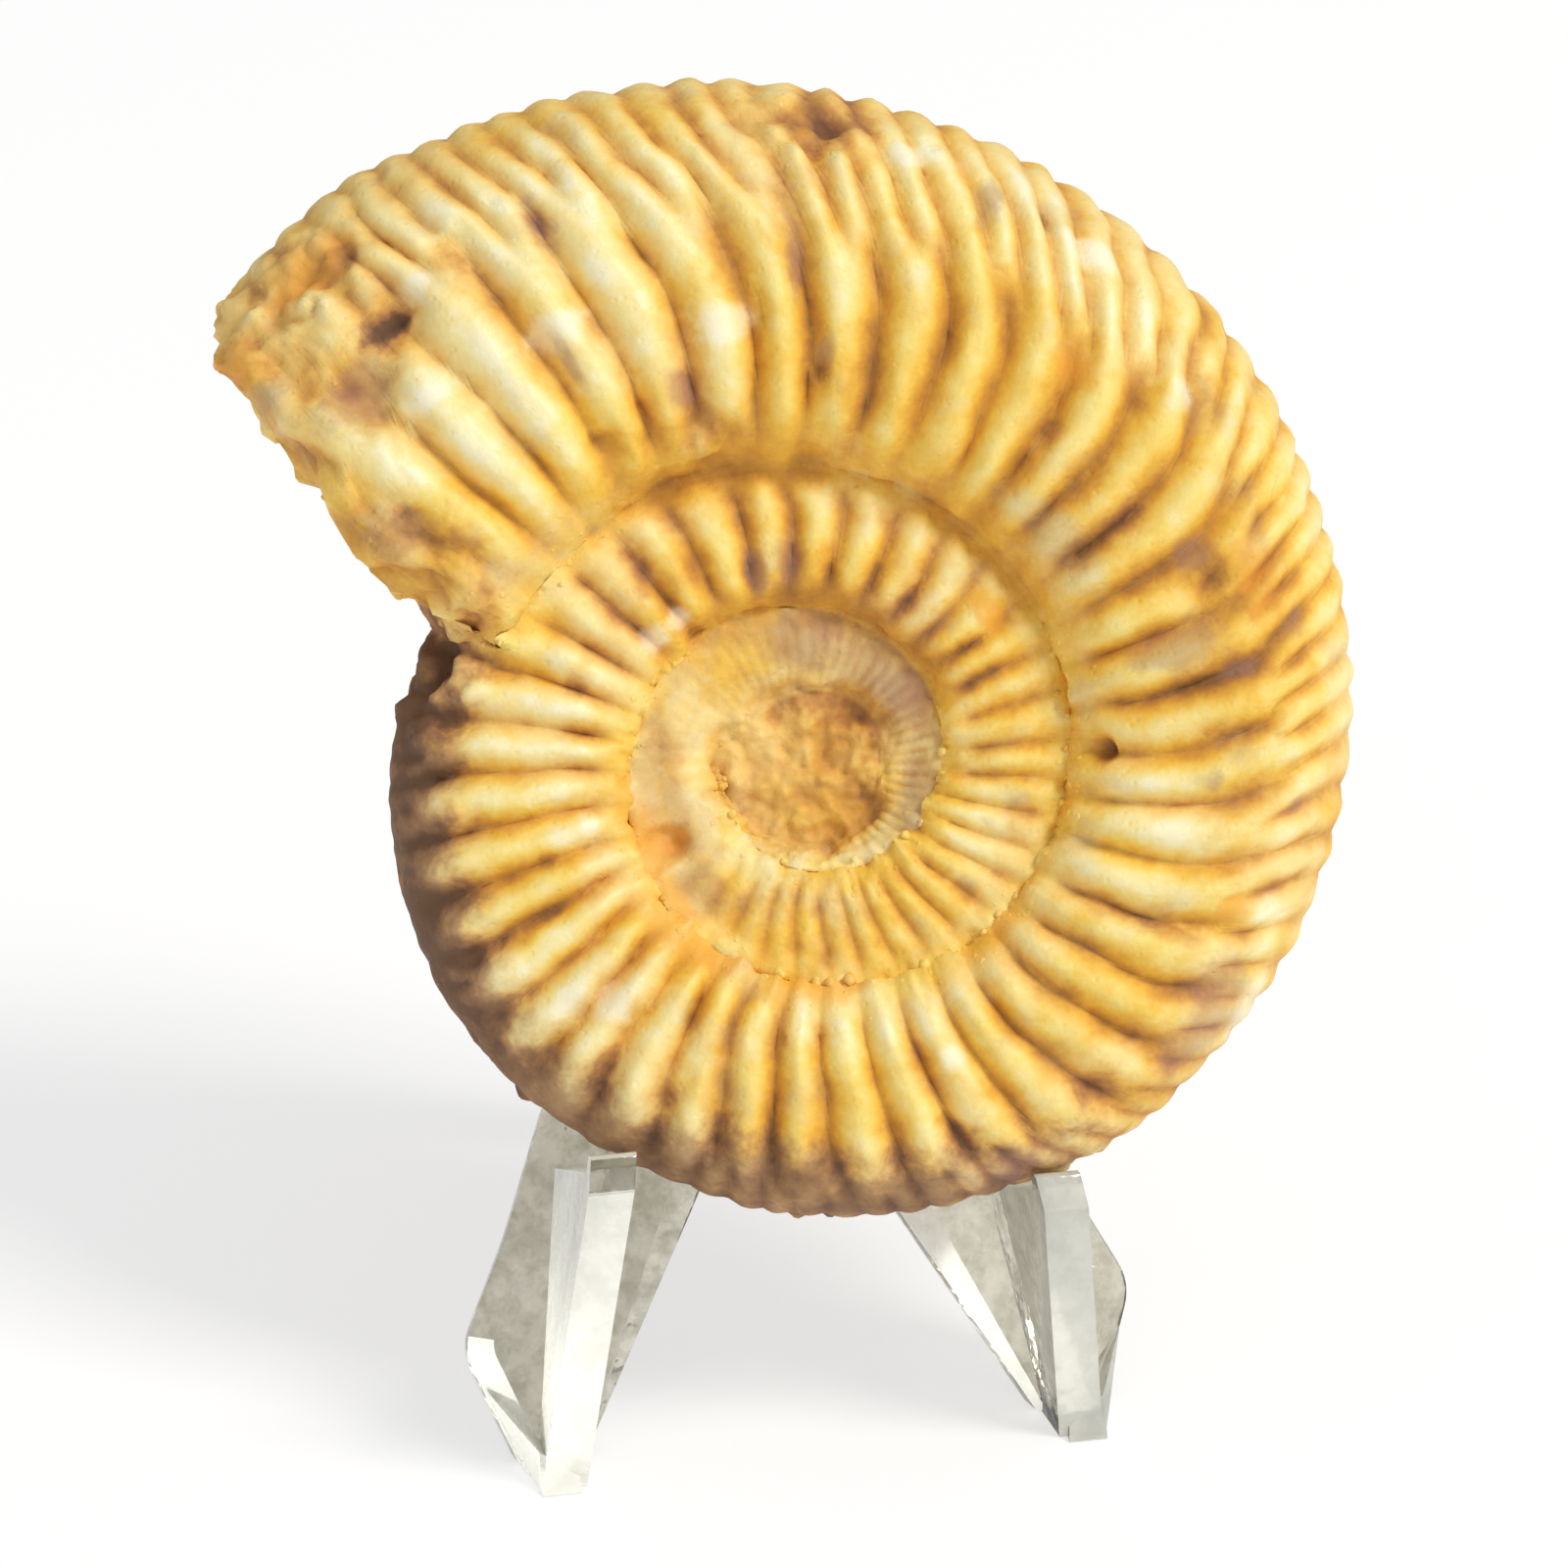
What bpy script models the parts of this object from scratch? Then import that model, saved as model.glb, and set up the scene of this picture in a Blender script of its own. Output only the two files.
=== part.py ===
"""A perisphinctes ammonite, a coiled fossil shell with strong ribs, on a small clear plastic easel.

The shell is one solid. Its coil is worked out from the radius of its rim and of its inner seam at every quarter turn,
and one strip of faces follows the spiral from the stone in its middle to its broken mouth, over both sides.
The easel is three clear mouldings: two front legs with a ledge each, and a brace that props them from behind.
Blender 4.5. Lengths below are millimetres and angles degrees; the meshes are made in metres, +Z up, front towards -Y.
"""

import math

import bmesh
import bpy
import numpy as np
from mathutils import Matrix, Vector, noise

MM = 0.001

# The coil: radii at every quarter turn, from its centre. Turn 0 points left, and the coil runs down, right and up.
RIM_RADII = (21.7, 23.4, 28.6, 35.8)  # the last whole turn, before it repeats at half the size inwards
TURN_GROWTH = 2.0
SEAM_RADII = (4.5, 5.4, 7.2, 8.4, 9.2, 11.2, 13.8, 15.6, 17.5)  # the umbilical seam, over the last two turns
FIRST_TURN = -2.0  # where the innermost ribs come out of the stone
SPLIT_TURN = -0.0625  # from here the rim of the turn before the mouth is bare
MOUTH_TURN = 0.9375
BREAK_FRACTIONS = (0.0, 0.23, 0.3, 0.39, 0.51, 0.67, 0.82, 1.0)  # seam to rim along the broken mouth
BREAK_ANGLES = (337.5, 336.5, 335.3, 334.5, 331.5, 329.0, 325.5, 322.0)
MOUTH_LUMPS, MOUTH_ROUGHNESS = 3.1, 1.5
BREAK_CROWDING = 0.16  # angle between the last columns, which crowd together at the break

# The section of one turn
BREADTH_PER_HEIGHT = 0.41  # half the thickness, against the height from seam to rim
WIDEST_AT = 0.42  # of that height
FLANK_POWER, RIM_POWER = 2.6, 2.1
WALL_POWER, WALL_ROUND = 3.0, 0.62
SEAM_STEP = 0.25  # width of the stone left in the seam
CORE_HEIGHT = 1.4
CORE_LUMP = 0.8
CORE_RINGS = ((0.8, 36), (0.55, 24), (0.28, 12))  # share of the core's radius, and points

# The ribs
RIB_RELIEF = 0.23  # of the square root of the turn's height
SPLIT_FROM, SPLIT_TO = 0.60, 0.82  # where a main rib becomes two
SIDE_RIB_RELIEF = 0.58
WALL_RIBS, RIBS_RISE = 0.05, 0.24  # relief left at the foot of the wall, and where the ribs have come to full height
LEAN_ANGLES = (1.0, 1.0, 2.0, 6.0, 8.0, 9.5, 12.0, 4.0, 4.0)  # forward lean at the rim, every eighth of a turn
LEAN_STARTS = 0.35

# Damage: angle, radius, half length along the coil in degrees, half width and depth
DENTS = (
    (317.0, 30.0, 4.5, 3.2, 1.3),
    (234.4, 20.4, 1.8, 0.9, 0.8),
    (184.0, 15.4, 2.0, 0.8, 0.7),
    (-16.0, 19.8, 6.5, 0.9, 1.0),
)

# The mesh of the shell
COVERED_ROWS = 3
OPEN_ROWS = 4
COLUMNS_PER_RIB = 4
INNER_COLUMNS_PER_RIB = 2

# The shell's place: it leans back on the easel
SHELL_CENTRE = (1.2, 0.0, 35.1)
SHELL_LEAN = 22.0

# The easel
STAND_LEAN = 29.0
STAND_TURN = 12.0  # the easel stands a little askew behind the shell
STAND_PLACE = (1.9, -9.15)
PLATE = 2.2
PLATE_CHAMFER = 0.8
RIB_WIDTH = 2.4
LEG_OUTLINE = (  # x, height along the plate, corner radius; the right leg
    (13.1, -3.0, 0.0),
    (15.5, -3.0, 0.0),
    (15.6, -0.6, 0.6),
    (18.4, 6.8, 3.0),
    (15.6, 12.4, 3.0),
    (12.9, 19.0, 4.0),
    (7.4, 30.0, 8.0),
    (5.9, 57.0, 2.0),
    (1.0, 57.0, 1.5),
    (1.4, 30.0, 12.0),
    (2.8, 17.5, 6.0),
    (13.1, -0.8, 0.6),
)
GUSSET_OUTLINE = (  # depth in front of the plate, height along it, corner radius
    (-2.0, -4.0, 0.0),
    (-2.0, -1.0, 0.5),
    (-11.6, 10.6, 0.5),
    (-11.6, 12.4, 0.4),
    (-10.8, 12.5, 0.4),
    (-10.2, 11.7, 0.4),
    (1.0, 12.9, 0.0),
    (1.0, -4.0, 0.0),
)
GUSSET_X = (13.9, 11.6)  # at the foot and at the ledge
LEDGE_HEIGHT = 15.0
BRACE_BAR = (11.0, 48.0, 55.5)  # width, and its lower and upper edge along the legs
BRACE_GAP = 0.3
BRACE_FOOT_Y = 38.0
BRACE_WIDTHS = (9.0, 6.4)  # of the strut, at its top and at its foot

# Half of the whole part's width and depth off the shell's own centre, so that the origin is under the middle
ORIGIN_SHIFT = (-0.33, -6.36)


def smooth(low, high, value):
    """0 below low, 1 above high, and an even slope between."""
    share = np.clip((value - low) / (high - low), 0.0, 1.0)
    return share * share * (3.0 - 2.0 * share)


def through_stations(stations, place):
    """The value at a place counted in stations, on a smooth curve through them."""
    first = np.clip(np.floor(place).astype(int), 1, len(stations) - 3)
    share = place - first
    before, low, high, after = (stations[first + step] for step in (-1, 0, 1, 2))
    slope_low = (high - before) / 2.0
    slope_high = (after - low) / 2.0
    bend = share * share * (3.0 - 2.0 * share)
    return (
        low
        + (high - low) * bend
        + slope_low * share * (1.0 - share) ** 2
        - slope_high * share * share * (1.0 - share)
    )


def rim_radius(turn):
    """Radius of the outer edge: the last turn's four radii, smaller by the same growth in each turn inwards."""
    logs = [
        math.log(RIM_RADII[step % 4] * TURN_GROWTH ** (step // 4)) for step in range(-12, 8)
    ]
    radius = np.exp(through_stations(np.array(logs), turn * 4.0 + 12.0))
    worn = smooth(306.0, 324.0, turn * 360.0)
    return radius - 1.1 * worn


def seam_radius(turn):
    """Radius of the seam at which a turn meets the one inside it."""
    inwards = [radius / TURN_GROWTH for radius in SEAM_RADII[:4]]
    outwards = [radius * TURN_GROWTH for radius in SEAM_RADII[5:]]
    logs = np.log(inwards + list(SEAM_RADII) + outwards)
    return np.exp(through_stations(logs, (turn + 2.0) * 4.0))


def inner_radius(turn):
    """Radius at which a turn's strip of faces starts: the seam, or the edge of the stone in the middle."""
    core = SEAM_RADII[0] + SEAM_STEP * (turn - FIRST_TURN)
    return np.where(turn < -1.0, core, seam_radius(turn) + SEAM_STEP)


def half_breadth(turn):
    return BREADTH_PER_HEIGHT * (rim_radius(turn) - np.minimum(seam_radius(turn), rim_radius(turn) / 2.0))


def flank_height(turn, fraction):
    """How far the smooth flank stands off the middle plane, at a fraction of the way from seam to rim."""
    inner = inner_radius(turn)
    if np.min(turn) < -1.0 + 1e-9:
        start = np.full_like(turn, CORE_HEIGHT)
        later = turn >= -1.0
        if later.any():
            start[later] = start_height(turn[later])
    else:
        start = start_height(turn)
    breadth = np.maximum(half_breadth(turn), start + 0.1)
    wall = np.clip(1.0 - fraction / WIDEST_AT, 0.0, 1.0)
    low = start + (breadth - start) * (1.0 - wall**WALL_POWER) ** WALL_ROUND
    beyond = np.clip((fraction - WIDEST_AT) / (1.0 - WIDEST_AT), 0.0, 1.0)
    high = breadth * (1.0 - beyond**FLANK_POWER) ** (1.0 / RIM_POWER)
    return np.where(fraction < WIDEST_AT, low, high), inner


def start_height(turn):
    """Height at which a turn's wall rises from the flank of the turn inside it."""
    below = turn - 1.0
    inner = inner_radius(below)
    fraction = (seam_radius(turn) - inner) / (rim_radius(below) - inner)
    height, _ = flank_height(below, np.clip(fraction, 0.0, 1.0))
    return height


def rib_count(turn):
    """How many main ribs lie before this place. They stand closer on the last turn and closest on the innermost."""
    slow = 1.7 * np.sin(1.2 * math.pi * np.minimum(turn, 0.0)) ** 2
    outer = -1.08 + 38.0 * turn + 3.06 * turn**2 + slow
    edge = -1.08 - 38.0 + 3.06 + 1.7 * math.sin(1.2 * math.pi) ** 2
    return np.where(turn < -1.0, edge + 60.0 * (turn + 1.0), outer)


def rib_lean(turn, fraction):
    """How far a rib has moved forward, in turns, at a fraction of the way from seam to rim."""
    stations = np.array((LEAN_ANGLES[0], *LEAN_ANGLES, LEAN_ANGLES[-1]))
    at_rim = through_stations(stations, np.clip(turn, 0.0, 1.0) * 8.0 + 1.0) / 360.0
    bent = np.clip((fraction - LEAN_STARTS) / (1.0 - LEAN_STARTS), 0.0, 1.0) ** 1.6
    hook = 1.6 / 360.0 * np.exp(-fraction / 0.08)
    return at_rim * bent + hook


def crest(across):
    """Height across one rib: a broad round top and a narrower groove."""
    return np.where(abs(across) < 0.5, np.abs(np.cos(math.pi * across)) ** 1.4, 0.0)


def rib_relief(turn, fraction):
    """Height of the ribs over the smooth shell: single on the flank, each parted in two before the rim."""
    count = rib_count(turn - rib_lean(turn, fraction))
    across = count - np.floor(count) - 0.5
    parted = smooth(SPLIT_FROM, SPLIT_TO, fraction)
    width = 1.0 - 0.5 * parted
    tops = np.maximum(
        crest((across - 0.25 * parted) / width), crest((across + 0.25 * parted) / width)
    )
    height = rim_radius(turn) - inner_radius(turn)
    relief = RIB_RELIEF * np.sqrt(height) * (1.0 - (1.0 - SIDE_RIB_RELIEF) * parted)
    relief = relief * (WALL_RIBS + (1.0 - WALL_RIBS) * smooth(0.0, RIBS_RISE, fraction))
    stone_covered = smooth(-0.87, -0.82, turn) + smooth(-1.02, -1.06, turn)
    relief = relief * np.where(turn < 0.0, 0.25 + 0.75 * stone_covered, 1.0)
    relief = relief * np.where(turn < -1.0, 0.55, 1.0)
    rubbed = smooth(0.33, 0.36, turn) * smooth(0.52, 0.49, turn) * smooth(0.86, 0.95, fraction)
    return relief * (tops - 0.45) * (1.0 - 0.6 * rubbed)


def dent_depth(turn, radius):
    """Depth of the pits and of the scar under the broken mouth."""
    depth = np.zeros_like(turn)
    for angle, middle, half_length, half_width, deepest in DENTS:
        along = (turn * 360.0 - angle) / half_length
        across = (radius - middle) / half_width
        depth += deepest * smooth(1.0, 0.2, np.hypot(along, across))
    return depth


def column_turns():
    """Places of the columns of faces: one on each crest and groove, and between."""
    fine = np.linspace(FIRST_TURN, MOUTH_TURN, 6000)
    counts = rib_count(fine)
    inner = np.arange(math.ceil(counts[0]) + 0.5, rib_count(np.array(-1.0)), 1.0 / INNER_COLUMNS_PER_RIB)
    outer = np.arange(
        math.ceil(rib_count(np.array(-1.0))), counts[-1] - 0.1, 1.0 / COLUMNS_PER_RIB
    )
    turns = np.interp(np.concatenate((inner, outer)), counts, fine)
    turns[np.argmin(abs(turns - SPLIT_TURN))] = SPLIT_TURN
    return np.concatenate(([FIRST_TURN], turns, [MOUTH_TURN]))


def section_fractions(turn):
    """Fractions from seam to rim of the rows of one side: first the covered part, then the rest round to the rim."""
    inner = inner_radius(turn)
    cover = (seam_radius(turn + 1.0) - inner) / (rim_radius(turn) - inner)
    covered = [cover * (row / COVERED_ROWS) ** 1.5 for row in range(COVERED_ROWS + 1)]
    reach = (max(cover - WIDEST_AT, 0.02) / (1.0 - WIDEST_AT)) ** (FLANK_POWER / 2.0)
    widest = math.acos(min(reach, 1.0))
    rest = [
        WIDEST_AT
        + (1.0 - WIDEST_AT) * math.cos(widest * (1.0 - row / OPEN_ROWS)) ** (2.0 / FLANK_POWER)
        for row in range(1, OPEN_ROWS + 1)
    ]
    return np.array(covered + rest)


def placed_turns(turn, fractions, columns_left):
    """Where one column's points lie along the coil: leaning with the ribs, and stopped by the broken mouth."""
    places = np.full_like(fractions, turn)
    for _ in range(3):
        places = turn + rib_lean(places, fractions)
    edge = np.interp(fractions, BREAK_FRACTIONS, BREAK_ANGLES)
    return np.minimum(places, (edge - BREAK_CROWDING * columns_left) / 360.0)


def coil_point(turn, radius, off_plane):
    angle = turn * 2.0 * math.pi
    return Vector((-radius * math.cos(angle), -off_plane, -radius * math.sin(angle)))


def column_points(turn, columns_left):
    """One column's points on the front side, from seam to rim, with ribs, pits and an uneven surface."""
    fractions = section_fractions(turn)
    turns = placed_turns(turn, fractions, columns_left)
    height, inner = flank_height(turns, fractions)
    height[-1] = 0.0
    radius = inner + fractions * (rim_radius(turns) - inner)
    mirrored_radius = np.concatenate((radius, radius[-2::-1]))
    mirrored_height = np.concatenate((height, -height[-2::-1]))
    along_radius = np.gradient(mirrored_radius)[: len(radius)]
    along_height = np.gradient(mirrored_height)[: len(radius)]
    length = np.hypot(along_radius, along_height) + 1e-9
    relief = rib_relief(turns, fractions) - dent_depth(turns, radius)
    radius = radius - relief * along_height / length
    height = height + relief * along_radius / length
    return turns, radius, height


def uneven(point, size, amount):
    """A point moved a little along each axis by smooth noise."""
    return point + amount * noise.noise_vector(point / size)


def zip_edges(left, right):
    """Triangles between two rows of (place, vertex), each in rising order of place."""
    faces = []
    here, there = 0, 0
    while here < len(left) - 1 or there < len(right) - 1:
        advance_left = there == len(right) - 1 or (
            here < len(left) - 1 and left[here + 1][0] <= right[there + 1][0]
        )
        if advance_left:
            faces.append((left[here][1], left[here + 1][1], right[there][1]))
            here += 1
        else:
            faces.append((left[here][1], right[there + 1][1], right[there][1]))
            there += 1
    return faces


def shell_mesh():
    """The whole shell as one closed strip of faces on each side, with the core, the rim and the broken mouth."""
    bm = bmesh.new()
    turns = column_turns()
    rows = COVERED_ROWS + OPEN_ROWS

    def vertex(turn, radius, height):
        return bm.verts.new(uneven(coil_point(turn, radius, height), 5.0, 0.16))

    columns = {1: [], -1: []}
    row_places = []
    apex = {side: vertex(FIRST_TURN, SEAM_RADII[0], side * CORE_HEIGHT) for side in (1, -1)}
    for number, turn in enumerate(turns):
        if turn == FIRST_TURN:
            for side in (1, -1):
                columns[side].append([apex[side]] * (COVERED_ROWS + 1))
            row_places.append([turn] * (COVERED_ROWS + 1))
            continue
        places, radius, height = column_points(turn, len(turns) - 1 - number)
        count = rows + 1 if turn >= SPLIT_TURN else COVERED_ROWS + 1
        row_places.append(list(places[:count]))
        front = [vertex(places[row], radius[row], height[row]) for row in range(count)]
        back = [vertex(places[row], radius[row], -height[row]) for row in range(min(count, rows))]
        if count == rows + 1:
            back.append(front[-1])
        columns[1].append(front)
        columns[-1].append(back)

    for side in (1, -1):
        strip = columns[side]
        for low, high in zip(strip, strip[1:]):
            for row in range(min(len(low), len(high)) - 1):
                corners = (low[row], high[row], high[row + 1], low[row + 1])
                bm.faces.new(list(dict.fromkeys(corners)))
        edge = [
            (row_places[i][COVERED_ROWS] + 1.0, strip[i][COVERED_ROWS])
            for i, turn in enumerate(turns)
            if turn <= SPLIT_TURN
        ]
        wall = [(row_places[i][0], strip[i][0]) for i, turn in enumerate(turns) if turn >= -1.0]
        first_wall = next(i for i, turn in enumerate(turns) if turn >= -1.0)
        for corners in zip_edges(edge, wall):
            bm.faces.new(corners)
        core_edge = [strip[i][0] for i in range(first_wall + 1)]
        fill_core(bm, core_edge, side)

    split = int(np.argmin(abs(turns - SPLIT_TURN)))
    fill_mouth(bm, columns, split)
    bmesh.ops.recalc_face_normals(bm, faces=bm.faces)
    return bm


def fill_core(bm, edge, side):
    """The lumpy stone that fills the middle: rings with fewer and fewer points."""
    rings = [[(math.tau * i / len(edge), vert) for i, vert in enumerate(edge)]]
    for share, points in CORE_RINGS:
        ring = []
        for step in range(points):
            angle = math.tau * step / points
            spot = coil_point(angle / math.tau, SEAM_RADII[0] * share, side * CORE_HEIGHT)
            spot.y -= side * CORE_LUMP * (0.4 + noise.noise(spot / 1.7))
            ring.append((angle, bm.verts.new(spot)))
        rings.append(ring)
    for outer, inner in zip(rings, rings[1:]):
        closed_outer = outer + [(math.tau, outer[0][1])]
        closed_inner = inner + [(math.tau, inner[0][1])]
        for corners in zip_edges(closed_outer, closed_inner):
            bm.faces.new(corners)
    last = [vert for _, vert in rings[-1]]
    middle = bm.verts.new(Vector((0.0, -side * (CORE_HEIGHT + CORE_LUMP), 0.0)))
    for one, two in zip(last, last[1:] + last[:1]):
        bm.faces.new((one, two, middle))


def fill_mouth(bm, columns, split):
    """The broken face of the mouth, between the last section and the rim of the turn before it."""
    outer = columns[1][-1] + columns[-1][-1][-2::-1]
    inner = columns[1][split][COVERED_ROWS:] + columns[-1][split][COVERED_ROWS:][-2::-1]
    steps = len(inner) - 1
    rows = [[(i / (len(outer) - 1), vert) for i, vert in enumerate(outer)]]
    for share in (0.33, 0.66):
        row = []
        for step in range(steps + 1):
            place = step / steps
            along = place * (len(outer) - 1)
            low = min(int(along), len(outer) - 2)
            start = outer[low].co.lerp(outer[low + 1].co, along - low)
            spot = start.lerp(inner[step].co, share)
            row.append((place, bm.verts.new(uneven(spot, MOUTH_LUMPS, MOUTH_ROUGHNESS))))
        rows.append(row)
    rows.append([(i / steps, vert) for i, vert in enumerate(inner)])
    for one, two in zip(rows, rows[1:]):
        for corners in zip_edges(one, two):
            bm.faces.new(corners)
    for end in (0, -1):
        ring = [row[end][1] for row in rows]
        for one, two in zip(ring[1:], ring[2:]):
            bm.faces.new((ring[0], one, two))


def add_object(name, bm, material, parent):
    bmesh.ops.scale(bm, vec=(MM, MM, MM), verts=bm.verts)
    mesh = bpy.data.meshes.new(name)
    bm.to_mesh(mesh)
    bm.free()
    mesh.materials.append(material)
    thing = bpy.data.objects.new(name, mesh)
    bpy.context.collection.objects.link(thing)
    thing.parent = parent
    return thing


def add_empty(name, place, turned, parent=None):
    empty = bpy.data.objects.new(name, None)
    bpy.context.collection.objects.link(empty)
    empty.location = Vector(place) * MM
    empty.rotation_euler = [math.radians(angle) for angle in turned]
    empty.parent = parent
    return empty


def stone_material():
    material = bpy.data.materials.new("ammonite_stone")
    material.use_nodes = True
    surface = material.node_tree.nodes["Principled BSDF"]
    surface.inputs["Base Color"].default_value = (0.72, 0.50, 0.20, 1.0)
    surface.inputs["Roughness"].default_value = 0.62
    return material


def clear_material():
    material = bpy.data.materials.new("clear_plastic")
    material.use_nodes = True
    surface = material.node_tree.nodes["Principled BSDF"]
    surface.inputs["Base Color"].default_value = (0.92, 0.93, 0.92, 1.0)
    surface.inputs["Roughness"].default_value = 0.04
    surface.inputs["IOR"].default_value = 1.49
    surface.inputs["Transmission Weight"].default_value = 1.0
    return material


def rounded_outline(corners, steps=3):
    """An outline's corners (across, up, radius) with each radius drawn as an arc."""
    points = []
    for index, (x, z, radius) in enumerate(corners):
        here = Vector((x, z))
        before = Vector(corners[index - 1][:2]) - here
        after = Vector(corners[(index + 1) % len(corners)][:2]) - here
        if radius == 0.0:
            points.append(here)
            continue
        half = before.angle(after) / 2.0
        reach = min(radius / math.tan(half), 0.45 * before.length, 0.45 * after.length)
        start = here + before.normalized() * reach
        end = here + after.normalized() * reach
        for step in range(steps + 1):
            share = step / steps
            curve = start.lerp(here, share).lerp(here.lerp(end, share), share)
            points.append(curve)
    return points


def prism(points, low, high, place):
    """A solid between two depths on a flat outline. place turns (across, up, depth) into a position."""
    bm = bmesh.new()
    near = [bm.verts.new(place(x, z, low)) for x, z in points]
    face = bm.faces.new(near)
    pulled = bmesh.ops.extrude_face_region(bm, geom=[face])
    far = [item for item in pulled["geom"] if isinstance(item, bmesh.types.BMVert)]
    shift = place(0.0, 0.0, high) - place(0.0, 0.0, low)
    bmesh.ops.translate(bm, vec=shift, verts=far)
    bmesh.ops.recalc_face_normals(bm, faces=bm.faces)
    return bm


def on_plate(x, z, depth):
    return Vector((x, depth, z))


def gusset_place(up, depth_in_front, across):
    lean = (GUSSET_X[1] - GUSSET_X[0]) / LEDGE_HEIGHT
    return Vector((GUSSET_X[0] + lean * up + across, depth_in_front, up))


def bevelled_front(bm, front, width):
    """The front edges of a plate cut to a flat chamfer."""
    edges = [edge for edge in bm.edges if all(abs(v.co.y - front) < 1e-6 for v in edge.verts)]
    bmesh.ops.bevel(bm, geom=edges, offset=width, segments=1, affect="EDGES", clamp_overlap=True)


def united(first, second):
    """Two closed meshes as one solid."""
    things = []
    for bm in (first, second):
        mesh = bpy.data.meshes.new("form")
        bm.to_mesh(mesh)
        bm.free()
        thing = bpy.data.objects.new("form", mesh)
        bpy.context.collection.objects.link(thing)
        things.append(thing)
    union = things[0].modifiers.new("union", "BOOLEAN")
    union.operation = "UNION"
    union.solver = "EXACT"
    union.object = things[1]
    graph = bpy.context.evaluated_depsgraph_get()
    result = bmesh.new()
    result.from_mesh(things[0].evaluated_get(graph).to_mesh())
    for thing in things:
        bpy.data.objects.remove(thing)
    return result


def cut_at_table(bm):
    """Everything below the table cut off, in the easel's leaning frame, with a flat face left there."""
    tilt = math.radians(STAND_LEAN)
    up = Vector((0.0, -math.sin(tilt), math.cos(tilt)))
    geometry = bm.verts[:] + bm.edges[:] + bm.faces[:]
    cut = bmesh.ops.bisect_plane(bm, geom=geometry, plane_co=(0, 0, 0), plane_no=up, clear_inner=True)
    rim = [item for item in cut["geom_cut"] if isinstance(item, bmesh.types.BMEdge)]
    bmesh.ops.contextual_create(bm, geom=rim)
    bmesh.ops.recalc_face_normals(bm, faces=bm.faces)


def leg_mesh(side):
    """One front leg: a leaf-shaped plate and the gusset in front of it, whose top is the ledge."""
    plate = prism(rounded_outline(LEG_OUTLINE), 0.0, PLATE, on_plate)
    bevelled_front(plate, 0.0, PLATE_CHAMFER)
    profile = [Vector((up, depth)) for depth, up in rounded_outline(GUSSET_OUTLINE)]
    gusset = prism(profile, -RIB_WIDTH / 2.0, RIB_WIDTH / 2.0, gusset_place)
    leg = united(plate, gusset)
    cut_at_table(leg)
    if side < 0:
        bmesh.ops.scale(leg, vec=(-1.0, 1.0, 1.0), verts=leg.verts)
        bmesh.ops.recalc_face_normals(leg, faces=leg.faces)
    return leg


def brace_mesh():
    """The brace: a bar behind the tops of the legs, and a strut from it down to the table."""
    width, low, high = BRACE_BAR
    front = PLATE + BRACE_GAP
    half = width / 2.0
    corners = ((-half, low, 1.2), (half, low, 1.2), (half, high, 1.2), (-half, high, 1.2))
    bar = prism(rounded_outline(corners), front, front + PLATE, on_plate)
    tilt = math.radians(STAND_LEAN)
    to_plate = Matrix.Rotation(tilt, 3, "X")
    foot = to_plate @ Vector((0.0, BRACE_FOOT_Y, -1.5))
    top = Vector((0.0, front + PLATE, high - 1.0))
    along = foot - top
    outwards = along.cross(Vector((1.0, 0.0, 0.0))).normalized()

    def on_strut(across, down, depth):
        return top + Vector((across, 0.0, 0.0)) + along.normalized() * down - outwards * depth

    wide, narrow = BRACE_WIDTHS
    corners = (
        (-wide / 2.0, 0.0, 0.8),
        (wide / 2.0, 0.0, 0.8),
        (narrow / 2.0, along.length, 0.0),
        (-narrow / 2.0, along.length, 0.0),
    )
    strut = prism(rounded_outline(corners), -PLATE / 2.0, PLATE / 2.0, on_strut)
    brace = united(bar, strut)
    cut_at_table(brace)
    return brace


def build():
    for thing in list(bpy.data.objects):
        bpy.data.objects.remove(thing)
    stone = stone_material()
    clear = clear_material()
    whole = add_empty("whole", (*ORIGIN_SHIFT, 0.0), (0.0, 0.0, 0.0))
    coil = add_empty("coil", SHELL_CENTRE, (-SHELL_LEAN, 0.0, 0.0), whole)
    easel = add_empty("easel", (*STAND_PLACE, 0.0), (-STAND_LEAN, 0.0, STAND_TURN), whole)
    shell = add_object("ammonite", shell_mesh(), stone, coil)
    shell.data.shade_smooth()
    add_object("left_leg", leg_mesh(-1), clear, easel)
    add_object("right_leg", leg_mesh(1), clear, easel)
    add_object("rear_brace", brace_mesh(), clear, easel)
    bpy.context.view_layer.update()


build()
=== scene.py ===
# %% [markdown]
# # A perisphinctes ammonite on a clear easel
#
# An ammonite is a coiled shell. Each turn of the coil lies against the flank of the turn before it, so only
# the last turn shows whole and the earlier ones show as steps going down into the middle. This shell is a
# fossil: its walls are stained stone, cream on the ribs and ochre between them. It leans on two clear
# plastic legs.
#
# The coil follows a rule, so it is worked out from a few radii. A strip of faces is wound along the spiral,
# and a Geometry Nodes tree then raises the ribs, the lumps and the broken face of the mouth on it.

import math

import bmesh
import bpy
import numpy as np
from mathutils import Matrix, Vector, noise


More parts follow.
